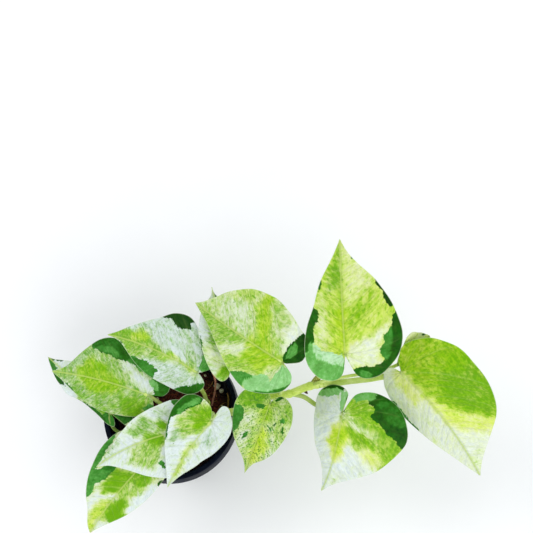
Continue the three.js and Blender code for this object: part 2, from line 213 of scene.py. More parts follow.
def join_forms(forms):
    """Several forms, each its points and faces, as the points and faces of one."""
    points, faces = [], []
    placed = 0
    for form_points, form_faces in forms:
        points.append(form_points)
        faces += [[corner + placed for corner in face] for face in form_faces]
        placed += len(form_points)
    return np.concatenate(points), faces


def turn_profile(profile, sides):
    """A closed (radius, height) profile, from the axis back to the axis, turned about +Z."""
    points = []
    rings = []
    for radius, height in profile:
        count = sides if radius > 0 else 1
        rings.append([len(points) + side for side in range(count)])
        for side in range(count):
            turn = 2 * math.pi * side / sides
            points.append((radius * math.cos(turn), radius * math.sin(turn), height))
    faces = []
    for lower, upper in zip(rings, rings[1:]):
        for side in range(sides):
            after = (side + 1) % sides
            corners = [lower[side % len(lower)], lower[after % len(lower)],
                       upper[after % len(upper)], upper[side % len(upper)]]
            faces.append(list(dict.fromkeys(corners)))
    return np.array(points), faces


def round_corners(profile, radius, steps=4):
    """The profile with each inner corner replaced by a short curve."""
    softened = [profile[0]]
    for before, corner, after in zip(profile, profile[1:], profile[2:]):
        before, corner, after = map(np.array, (before, corner, after))
        reach = [min(radius, CORNER_ROOM * np.linalg.norm(end - corner)) for end in (before, after)]
        start = corner + (before - corner) / np.linalg.norm(before - corner) * reach[0]
        end = corner + (after - corner) / np.linalg.norm(after - corner) * reach[1]
        for step in range(steps + 1):
            share = step / steps
            point = (1 - share) ** 2 * start + 2 * share * (1 - share) * corner + share ** 2 * end
            softened.append(tuple(point))
    return softened + [profile[-1]]


def inner_radius(height):
    """The radius of the inside of the pot's wall at a height."""
    rise = (height - POT_FLOOR) / (POT_HEIGHT - POT_FLOOR)
    return POT_BASE_RADIUS - POT_WALL + rise * (RIM_INNER_RADIUS - POT_BASE_RADIUS + POT_WALL)


under_rim = POT_HEIGHT - RIM_THICKNESS
skirt_bottom = POT_HEIGHT - SKIRT_DEPTH
pot_profile = [
    (0, 0),
    (POT_BASE_RADIUS - POT_FOOT, 0),
    (POT_BASE_RADIUS, POT_FOOT),
    (inner_radius(under_rim) + POT_WALL, under_rim),
    (RIM_OUTER_RADIUS - POT_WALL, under_rim),
    (SKIRT_BOTTOM_RADIUS - POT_WALL, skirt_bottom),
    (SKIRT_BOTTOM_RADIUS, skirt_bottom),
    (RIM_OUTER_RADIUS, POT_HEIGHT),
    (RIM_INNER_RADIUS, POT_HEIGHT),
]
for ring_height in reversed(RING_HEIGHTS):
    pot_profile += [
        (inner_radius(ring_height + 1), ring_height + 1),
        (inner_radius(ring_height) - RING_DEPTH, ring_height),
        (inner_radius(ring_height - 1), ring_height - 1),
    ]
pot_profile += [(POT_BASE_RADIUS - POT_WALL, POT_FLOOR), (0, POT_FLOOR)]

plastic = Finish("black_plastic")
skin = plastic.noise(plastic.place(1, 1, 1), 1.6)
dust_and_sheen = plastic.noise(plastic.place(0.05, 0.05, 0.12), 1.0, 4)
sheen_streaks = plastic.noise(plastic.place(0.4, 0.4, 0.03), 1.0, 2)
# Navy patches in the near-black are a painted bluish sheen, the reflection of the pale room; the coarse
# noise also varies the roughness.
plastic.wear(
    Base_Color=plastic.mix((5, 7, 12), (17, 25, 42), plastic.step(dust_and_sheen * 0.7 + sheen_streaks * 0.3, 0.25, 0.75)),
    Roughness=plastic.step(dust_and_sheen, 0.3, 0.7, 0.34, 0.5),
    Normal=plastic.bump(skin, 0.03),
)
plastic.shader.inputs["IOR"].default_value = PLASTIC_GLOSS_IOR

pot_form = turn_profile(round_corners(pot_profile, CORNER_RADIUS), POT_SIDES)
pot = make_piece("nursery_pot", *pot_form, [plastic])
drill_profile = [(0, -2), (DRAIN_HOLE_RADIUS, -2), (DRAIN_HOLE_RADIUS, 4), (0, 4)]
drill_points, drill_faces = turn_profile(drill_profile, DRAIN_HOLE_SIDES)
drills = []
for hole in range(DRAIN_HOLES):
    turn = 2 * math.pi * (hole + 0.5) / DRAIN_HOLES
    middle = (DRAIN_HOLE_CIRCLE * math.cos(turn), DRAIN_HOLE_CIRCLE * math.sin(turn), 0)
    drills.append((drill_points + middle, drill_faces))
drill = make_piece("drill", *join_forms(drills), [plastic])
cut = pot.modifiers.new("drain_holes", "BOOLEAN")
cut.object = drill
cut.solver = "EXACT"
bpy.context.view_layer.update()
drilled = bpy.data.meshes.new_from_object(pot.evaluated_get(bpy.context.evaluated_depsgraph_get()))
pot.modifiers.remove(cut)
pot.data = drilled
pot.data.set_sharp_from_angle(angle=math.radians(POT_CREASE))
bpy.data.objects.remove(drill)
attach(pot, "root")
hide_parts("pot")

# Potting mix
# Dark reddish-brown coco peat: a turned body with a lumpy top, loose crumbs and husk chips
# lying on it, and light grains of perlite.
SOIL_TOP = 62
SOIL_GAP = 0.3  # to the pot's wall
SOIL_FOOT = (0.4, 0.2)  # how far its foot stays in from the wall and up from the floor
SOIL_RELIEF = 1.1
LUMP_SIZE = 9
CRUMB_SIZE = 4.5
CRUMB_SHARE = 0.3
SOIL_RINGS = 60
SOIL_SIDES = 180
DIMPLES = ((2.1, 0.35), (1.1, 0.25))  # size and height
LOOSE_CRUMBS = 3200
LOOSE_CRUMB_SIZES = (0.35, 1.15)  # the smallest, and how much more the largest has
LOOSE_CRUMB_MARGIN = 1.2  # clear of the pot's wall
LOOSE_CRUMB_WIDTH = (0.5, 1)  # shares of its length
LOOSE_CRUMB_THICKNESS = (0.3, 0.8)
LOOSE_CRUMB_ROUGHNESS = 0.25
LOOSE_CRUMB_STAND = 0.3  # how high its middle lies, as a share of its size
CRUMB_ROWS = 4
GRAIN_ROWS = 14
GRAIN_DENTS = 5
GRAIN_DENT_RATE = 2.2
GRAIN_DENT_DEPTH = 0.05
GRAIN_STAND = 0.75
PERLITE = (  # x, y and radius of each grain
    (34, 23.4, 2.6), (37.6, 20.2, 1.9), (12, 24, 1.2), (-14, 14, 1.0), (24, 33, 1.1), (-24, 22, 1.3),
    (6, -22, 1.2), (38, 8, 0.9), (-8, -30, 1.4), (29, -24, 1.3), (-30, -4, 1.2), (16, 36, 1.0),
)


def soil_height(x, y):
    lumps = np.sin(x / LUMP_SIZE) * np.cos(y / LUMP_SIZE)
    crumbs = np.sin((x - y) / CRUMB_SIZE)
    return SOIL_TOP + SOIL_RELIEF * ((1 - CRUMB_SHARE) * lumps + CRUMB_SHARE * crumbs)


def ball(rows):
    """A unit ball: its points and faces."""
    slopes = [math.pi * row / rows for row in range(1, rows)]
    return turn_profile([(0, -1), *((math.sin(s), -math.cos(s)) for s in slopes), (0, 1)], rows + 2)


def random_turn(rng):
    """A rotation with no preferred direction."""
    square, _ = np.linalg.qr(rng.normal(size=(3, 3)))
    return square * np.sign(np.linalg.det(square))


soil_rng = np.random.default_rng(7)
soil_radius = inner_radius(SOIL_TOP) - SOIL_GAP
soil_foot = POT_FLOOR + SOIL_FOOT[1]
soil_profile = [(0, soil_foot), (inner_radius(POT_FLOOR) - SOIL_FOOT[0], soil_foot)]
soil_profile += [(soil_radius * ring / SOIL_RINGS, SOIL_TOP) for ring in range(SOIL_RINGS, -1, -1)]
soil_points, soil_faces = turn_profile(soil_profile, SOIL_SIDES)
on_top = soil_points[:, 2] > SOIL_TOP / 2
top_x, top_y = soil_points[on_top, 0], soil_points[on_top, 1]
soil_points[on_top, 2] = soil_height(top_x, top_y)
for size, height in DIMPLES:
    shift = soil_rng.uniform(0, 6, 4)
    soil_points[on_top, 2] += height * (
        np.sin(top_x / size + shift[0] + np.sin(top_y / size * 0.7 + shift[1]))
        * np.sin(top_y / size + shift[2] + np.sin(top_x / size * 0.6 + shift[3]))
    )

soil_forms = [(soil_points, soil_faces)]
crumb_points, crumb_faces = ball(CRUMB_ROWS)
for crumb in range(LOOSE_CRUMBS):
    away = (inner_radius(SOIL_TOP) - LOOSE_CRUMB_MARGIN) * math.sqrt(soil_rng.uniform())
    turn = soil_rng.uniform(0, 2 * math.pi)
    x, y = away * math.cos(turn), away * math.sin(turn)
    size = LOOSE_CRUMB_SIZES[0] + LOOSE_CRUMB_SIZES[1] * soil_rng.uniform() ** 3
    width, thickness = soil_rng.uniform(*LOOSE_CRUMB_WIDTH), soil_rng.uniform(*LOOSE_CRUMB_THICKNESS)
    stretch = np.array([1, width, thickness]) * size
    jitter = 1 + LOOSE_CRUMB_ROUGHNESS * soil_rng.normal(size=(len(crumb_points), 1))
    grain = (crumb_points * jitter * stretch) @ random_turn(soil_rng).T
    soil_forms.append((grain + (x, y, soil_height(x, y) + LOOSE_CRUMB_STAND * size), crumb_faces))

peat = Finish("coco_peat")
peat_spot = peat.place(1, 1, 1)
peat_tone = peat.noise(peat_spot, 0.55, 5, 0.65)
peat_grit = peat.noise(peat_spot, 2.4, 3)
peat_colour = peat.ramp(
    peat_tone * 0.75 + peat_grit * 0.25,
    (0.32, (28, 8, 6)), (0.46, (70, 26, 18)), (0.58, (124, 48, 32)), (0.74, (176, 108, 70)),
)
from_axis = peat.node("VectorMath", {"operation": "LENGTH"}, {0: peat.place(1, 1, 0)}, output=1)
# The mix is painted darker towards the pot's wall: painted shade where the wall and the leaves shade it.
peat.wear(
    Base_Color=peat.mix(peat_colour, (24, 8, 6), peat.step(from_axis, 34, 43) * 0.8),
    Roughness=0.92,
    Normal=peat.bump(peat_grit, 0.35),
)
mix_piece = make_piece("potting_mix", *join_forms(soil_forms), [peat], crease=50)
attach(mix_piece, "root")
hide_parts("soil")

grit = Finish("perlite_grain")
grit_pits = grit.noise(grit.place(1, 1, 1), 1.4, 4, 0.6)
grit.wear(
    Base_Color=grit.mix((222, 202, 168), (252, 246, 228), grit.step(grit_pits, 0.35, 0.6)),
    Roughness=0.85,
    Normal=grit.bump(grit_pits, 0.4),
)
grain_points, grain_faces = ball(GRAIN_ROWS)
grains = []
for x, y, size in PERLITE:
    swell = sum(
        np.sin(grain_points @ soil_rng.normal(size=3) * GRAIN_DENT_RATE + soil_rng.uniform(0, 6))
        for _ in range(GRAIN_DENTS)
    )
    grain = grain_points * size * (1 + GRAIN_DENT_DEPTH * swell[:, None])
    grains.append((grain + (x, y, soil_height(x, y) + GRAIN_STAND * size), grain_faces))
perlite = make_piece("perlite", *join_forms(grains), [grit])
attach(perlite, "root")

# Stems
# The main vine leaves the mix, bends over the rim and runs out to the right, with a ring at
# each node where a leaf grew. Three short rooted stems carry the leaves over the pot.
VINE_RADIUS = 3
VINE_PATH = (
    (34, 6, 36), (37.4, 1.8, 62), (40.3, -0.8, 78), (45.2, -1.4, 91.5), (52.2, -0.4, 95.5),
    (58.3, 2.6, 98), (66, 6.6, 101), (75, 8.9, 103.5), (84, 9.6, 106), (90, 9.8, 108.5),
    (103, 14.1, 113), (109.5, 15.5, 115.2), (116, 16.2, 117),
)
VINE_NODES = (0.3, 0.42, 0.56, 0.655, 0.74, 0.8, 0.925, 0.965)  # shares of its length
SHORT_STEMS = {
    "stem_back": (2.6, ((25, 5, 36), (26, 7, 62), (27, 9, 77))),
    "stem_front": (2.8, ((17, -3, 34), (18, -3, 62), (19, -4, 81))),
    "stem_left": (2.6, ((4, -3, 36), (3.5, -2.5, 62), (2.7, -1.5, 77))),
}
SHORT_NODES = (0.62, 0.8, 0.95)
VINE_MESH = (190, 28)  # rings along it, and sides round it
SHORT_STEM_MESH = (60, 24)
STEM_CREASE = 60
PATH_STEPS = 40
STEM_SLIMNESS = 0.96  # between nodes
NODE_SWELL = 0.14
NODE_LENGTH = 1.6
NODE_SCAR = (0.1, 1.3, 0.25)  # depth as a share of the radius, place and width in node lengths
GROOVE_WIDTH = 0.45  # in radians round the stalk


def even_points(line, count):
    """Points an equal distance apart on a line, and how far along they lie."""
    run = np.concatenate([[0], np.cumsum(np.linalg.norm(np.diff(line, axis=0), axis=1))])
    even = np.linspace(0, run[-1], count)
    return np.stack([np.interp(even, run, line[:, axis]) for axis in range(line.shape[1])], axis=1), even


def smooth_path(corners, count):
    """Even points on the centripetal curve through the corners, and how far along they lie."""
    corners = [np.array(corner, float) for corner in corners]
    ends = [2 * corners[0] - corners[1]] + corners + [2 * corners[-1] - corners[-2]]
    dense = []
    for p0, p1, p2, p3 in zip(ends, ends[1:], ends[2:], ends[3:]):
        t01, t12, t23 = (np.linalg.norm(b - a) ** 0.5 for a, b in ((p0, p1), (p1, p2), (p2, p3)))
        leave = t12 * ((p1 - p0) / t01 - (p2 - p0) / (t01 + t12) + (p2 - p1) / t12)
        arrive = t12 * ((p2 - p1) / t12 - (p3 - p1) / (t12 + t23) + (p3 - p2) / t23)
        for t in np.linspace(0, 1, PATH_STEPS, endpoint=False):
            dense.append(
                p1 + leave * t + (3 * (p2 - p1) - 2 * leave - arrive) * t ** 2
                + (2 * (p1 - p2) + leave + arrive) * t ** 3
            )
    return even_points(np.array(dense + [corners[-1]]), count)


def tube(path, radii, sides, groove=0.0):
    """A closed bar along a path: its points and faces. A groove flattens its upper side."""
    ahead = np.gradient(path, axis=0)
    ahead /= np.linalg.norm(ahead, axis=1, keepdims=True)
    across = np.cross(ahead[0], (0, 0, 1)) + np.array((1e-6, 0, 0))
    points = []
    for centre, forward, radius in zip(path, ahead, radii):
        across = across - forward * (across @ forward)
        across /= np.linalg.norm(across)
        above = np.cross(across, forward)
        for side in range(sides):
            turn = 2 * math.pi * side / sides
            dent = 1 - groove * math.exp(-((turn - math.pi / 2) / GROOVE_WIDTH) ** 2)
            points.append(centre + radius * dent * (math.cos(turn) * across + math.sin(turn) * above))
    faces = [list(range(sides))]
    for row in range(len(path) - 1):
        for side in range(sides):
            here, after = row * sides + side, row * sides + (side + 1) % sides
            faces.append([here, here + sides, after + sides, after])
    last = (len(path) - 1) * sides
    faces.append([last + side for side in reversed(range(sides))])
    return np.array(points), faces


def stem_radii(radius, even, nodes):
    """A stem's radius along its length: slim between nodes, swollen at each, pinched just past it."""
    depth, place, width = NODE_SCAR
    radii = np.full(len(even), STEM_SLIMNESS * radius)
    for node in nodes:
        near = (even - node * even[-1]) / NODE_LENGTH
        radii += NODE_SWELL * radius * np.exp(-near ** 2)
        radii -= depth * radius * np.exp(-((near - place) / width) ** 2)
    return radii


bark = Finish("green_stem")
bark_spot = bark.place(1, 1, 1)
bark_cloud = bark.noise(bark_spot, 0.12, 3)
bark_grain = bark.noise(bark.place(0.25, 1.4, 1.4), 1.0, 3)
bark_pores = bark.noise(bark_spot, 3.2, 2)
bark_colour = bark.ramp(
    bark_cloud * 0.6 + bark_grain * 0.4,
    (0.3, (166, 196, 58)), (0.5, (206, 228, 98)), (0.7, (236, 244, 160)),
)
bark.wear(
    Base_Color=bark.mix(bark_colour, (96, 104, 40), bark.step(bark_pores, 0.66, 0.74) * 0.6),
    Roughness=bark.step(bark_grain, 0.3, 0.7, 0.34, 0.5),
    Normal=bark.bump(bark_grain * 0.6 + bark_pores * 0.4, 0.12),
)

vine_line, vine_run = smooth_path(VINE_PATH, VINE_MESH[0])
vine_form = tube(vine_line, stem_radii(VINE_RADIUS, vine_run, VINE_NODES), VINE_MESH[1])
vine = make_piece("main_vine", *vine_form, [bark], crease=STEM_CREASE)
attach(vine, "root")
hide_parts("vine")
for name, (radius, corners) in SHORT_STEMS.items():
    line, run = smooth_path(corners, SHORT_STEM_MESH[0])
    stem_form = tube(line, stem_radii(radius, run, SHORT_NODES), SHORT_STEM_MESH[1])
    stem = make_piece("short_" + name, *stem_form, [bark], crease=STEM_CREASE)
    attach(stem, "root")
    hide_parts(name)

# Roots, dried sheath and bud
# A thin reddish root climbs beside the back stem and a tan strand hangs by the rim. Where
# leaves grew, the vine keeps a papery dried sheath and a dark bud.
ROOT_PATH = ((30, 8, 42), (30, 9, 62), (33, 17, 76), (34, 24, 92), (32, 29, 103))
ROOT_RADIUS = 0.75
ROOT_KNOTS = 0.14
ROOT_MESH = (90, 12)
STRAND_PATH = ((42.8, 5.4, 63), (43.6, 9, 69), (43.7, 13.2, 76), (42.9, 15.6, 79))
STRAND_TAPER = 0.5
STRAND_MESH = (50, 12)
BUD_PATH = ((102.8, 12.8, 110.6), (103.6, 11.2, 108.8), (104.9, 10, 108.4))
BUD_RADIUS = 1.3
BUD_SWELL = (0.28, 0.68)  # where on a half wave it starts, and how much of the wave it takes
BUD_MESH = (16, 14)
SHEATH_PATH = ((109.6, 16.8, 113.6), (111.2, 19.2, 117.4), (112.6, 20.8, 120.4))
SHEATH_RADII = (2.9, 0.9)  # at its foot, and how much less at its tip
SHEATH_MESH = (24, 20)


def dry_skin(name, grain_scale, tones, roughness, relief):
    """A dry skin with a fine grain that runs up and down."""
    finish = Finish(name)
    grain = finish.noise(finish.place(*grain_scale), 1.0, 4)
    finish.wear(
        Base_Color=finish.ramp(grain, *tones), Roughness=roughness, Normal=finish.bump(grain, relief),
    )
    return finish


root_skin = dry_skin("root_skin", (2, 2, 0.3), (
    (0.3, (140, 78, 62)), (0.55, (214, 142, 120)), (0.75, (240, 190, 164)),
), 0.7, 0.15)
tan_skin = dry_skin("dry_strand", (1.4, 1.4, 0.3), (
    (0.3, (130, 92, 46)), (0.55, (200, 154, 86)), (0.75, (232, 200, 130)),
), 0.75, 0.15)
papery = dry_skin("dried_sheath_skin", (1.3, 1.3, 0.22), (
    (0.35, (112, 100, 30)), (0.52, (168, 176, 66)), (0.68, (200, 208, 104)),
), 0.6, 0.25)
husk = Finish("dark_bud")
husk_grain = husk.noise(husk.place(1, 1, 1), 1.8, 3)
husk.wear(
    Base_Color=husk.mix((40, 18, 14), (98, 62, 40), husk.step(husk_grain, 0.4, 0.7)),
    Roughness=0.8,
    Normal=husk.bump(husk_grain, 0.2),
)

root_line, root_run = smooth_path(ROOT_PATH, ROOT_MESH[0])
knots = 1 + ROOT_KNOTS * np.sin(root_run * 1.3) * np.sin(root_run * 0.37 + 1)
root = make_piece("thin_root", *tube(root_line, ROOT_RADIUS * knots, ROOT_MESH[1]), [root_skin])
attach(root, "root")
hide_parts("aerial_root")
strand_line, strand_run = smooth_path(STRAND_PATH, STRAND_MESH[0])
strand_radii = 1 - STRAND_TAPER * strand_run / strand_run[-1]
strand = make_piece("tan_strand", *tube(strand_line, strand_radii, STRAND_MESH[1]), [tan_skin])
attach(strand, "root")
sheath_line, sheath_run = smooth_path(SHEATH_PATH, SHEATH_MESH[0])
sheath_radii = SHEATH_RADII[0] - SHEATH_RADII[1] * (sheath_run / sheath_run[-1]) ** 2
sheath = make_piece("dried_sheath", *tube(sheath_line, sheath_radii, SHEATH_MESH[1]), [papery])
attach(sheath, "root")
bud_line, bud_run = smooth_path(BUD_PATH, BUD_MESH[0])
bud_radii = BUD_RADIUS * np.sin(np.pi * (BUD_SWELL[0] + BUD_SWELL[1] * bud_run / bud_run[-1]))
bud = make_piece("node_bud", *tube(bud_line, bud_radii, BUD_MESH[1]), [husk])
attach(bud, "root")

# Peat fibres
# Short tan fibres of coconut husk lie loose on the potting mix, each bent its own way.
# They are thin bars that follow the lumps of its top.
FIBRES = 110
FIBRE_MESH = (12, 5)
FIBRE_CORNERS = 4
FIBRE_START = 5  # the nearest that a fibre starts to the wall
FIBRE_MARGIN = 1.5  # the nearest that it comes
FIBRE_LENGTH = (3, 9)
FIBRE_BEND = 1.2  # in radians from end to end, as a spread
FIBRE_LIFT = (0.1, 1.1)
FIBRE_RADIUS = (0.12, 0.28)

fibre_forms = []
for fibre in range(FIBRES):
    away = (inner_radius(SOIL_TOP) - FIBRE_START) * math.sqrt(soil_rng.uniform())
    turn, heading = soil_rng.uniform(0, 2 * math.pi, 2)
    start = np.array((away * math.cos(turn), away * math.sin(turn)))
    bend = soil_rng.normal(0, FIBRE_BEND)
    reach = soil_rng.uniform(*FIBRE_LENGTH)
    corners = []
    for share in np.linspace(0, 1, FIBRE_CORNERS):
        angle = heading + bend * share
        spot = start + reach * share * np.array((math.cos(angle), math.sin(angle)))
        spot *= min(1, (inner_radius(SOIL_TOP) - FIBRE_MARGIN) / np.linalg.norm(spot))
        corners.append((*spot, soil_height(*spot) + soil_rng.uniform(*FIBRE_LIFT)))
    line = smooth_path(corners, FIBRE_MESH[0])[0]
    fibre_forms.append(tube(line, np.full(FIBRE_MESH[0], soil_rng.uniform(*FIBRE_RADIUS)), FIBRE_MESH[1]))
fibres = make_piece("peat_fibres", *join_forms(fibre_forms), [tan_skin])
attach(fibres, "root")

# Leaves
# Each leaf grew in one piece: a waxy heart-shaped blade, folded a little along its midrib,
# on a round petiole. Cells without green leave white and lime sectors, mottled by the rest.
BLADE_THICKNESS = 0.7
EDGE_THICKNESS = 0.4
EDGE_TAPER = 5  # how far in from the edge the blade reaches its full thickness
BLADE_ROWS = 112
BLADE_COLUMNS = 26
BASAL_SHARE = 0.26  # of a margin's length: the lobe behind the petiole
LOBE_SHARE = 0.25  # of the midrib's length: how far back the heel's bend is measured
RIB_LEAN = 1.15  # above 1, the rows of the mesh crowd toward the petiole
CURL_REACH = 40  # how far out from the midrib the curl is measured
MARGIN_STEPS = 600
LEAF_CREASE = 70
RIPPLE_HEIGHT = 1.1
RIPPLE_WAVES = 2.5
FRILL_HEIGHT = 0.3
FRILL_WAVES = 7
DENT_HEIGHT = 0.2
DENT_SCALE = 1.4
PUCKER_HEIGHT = 0.12
RIB_GROOVE = (0.55, 0.7, 1.1)  # height at the petiole, the share of it lost by the tip, half width
RIB_RIDGE = (0.75, 0.8, 1.4)
RIB_CLEAR = 3  # side veins fade this near the midrib
EDGE_CLEAR = 6  # and this near the edge
VEIN_SPACING = 7.5
VEIN_DEPTH = 0.17
VEIN_WIDTH = 1.2
VEIN_LEAN = 0.62  # how far a side vein runs forward for each millimetre out
VEIN_SWEEP = 0.011
VEIN_WOBBLE = ((1.3, 0.31, 2), (0.8, 0.83, 1))
LOBE_VEIN_SPREAD = 14
PETIOLE_RUN = 3  # how far it runs on under the midrib, in radii
PETIOLE_MESH = (70, 20)
PETIOLE_SLIMNESS = 0.93
PETIOLE_GROOVE = 0.14
PETIOLE_FLARE = (0.25, 2.2)  # how much wider at its foot, and over how many radii
PETIOLE_SWELL = (0.1, 2.5, 1.8)  # how much wider below the blade, how far below, over what length
PETIOLE_TAPER = (0.55, 2)  # how much slimmer under the blade, and over what length
WANDER_WAVES = ((19, 0.8), (11, 0.7), (6, 0.5), (3.5, 0.3))  # length and height
SPOT_SHIFT = 31.0  # sets each leaf's patterns apart from the next one's
GRAIN_SHIFT = 17.0
COVER_LEVEL = 0.66  # where a pattern of green passes this level, it shows
COVER_GAIN = 0.32
BLADE_GLOSS = 0.07

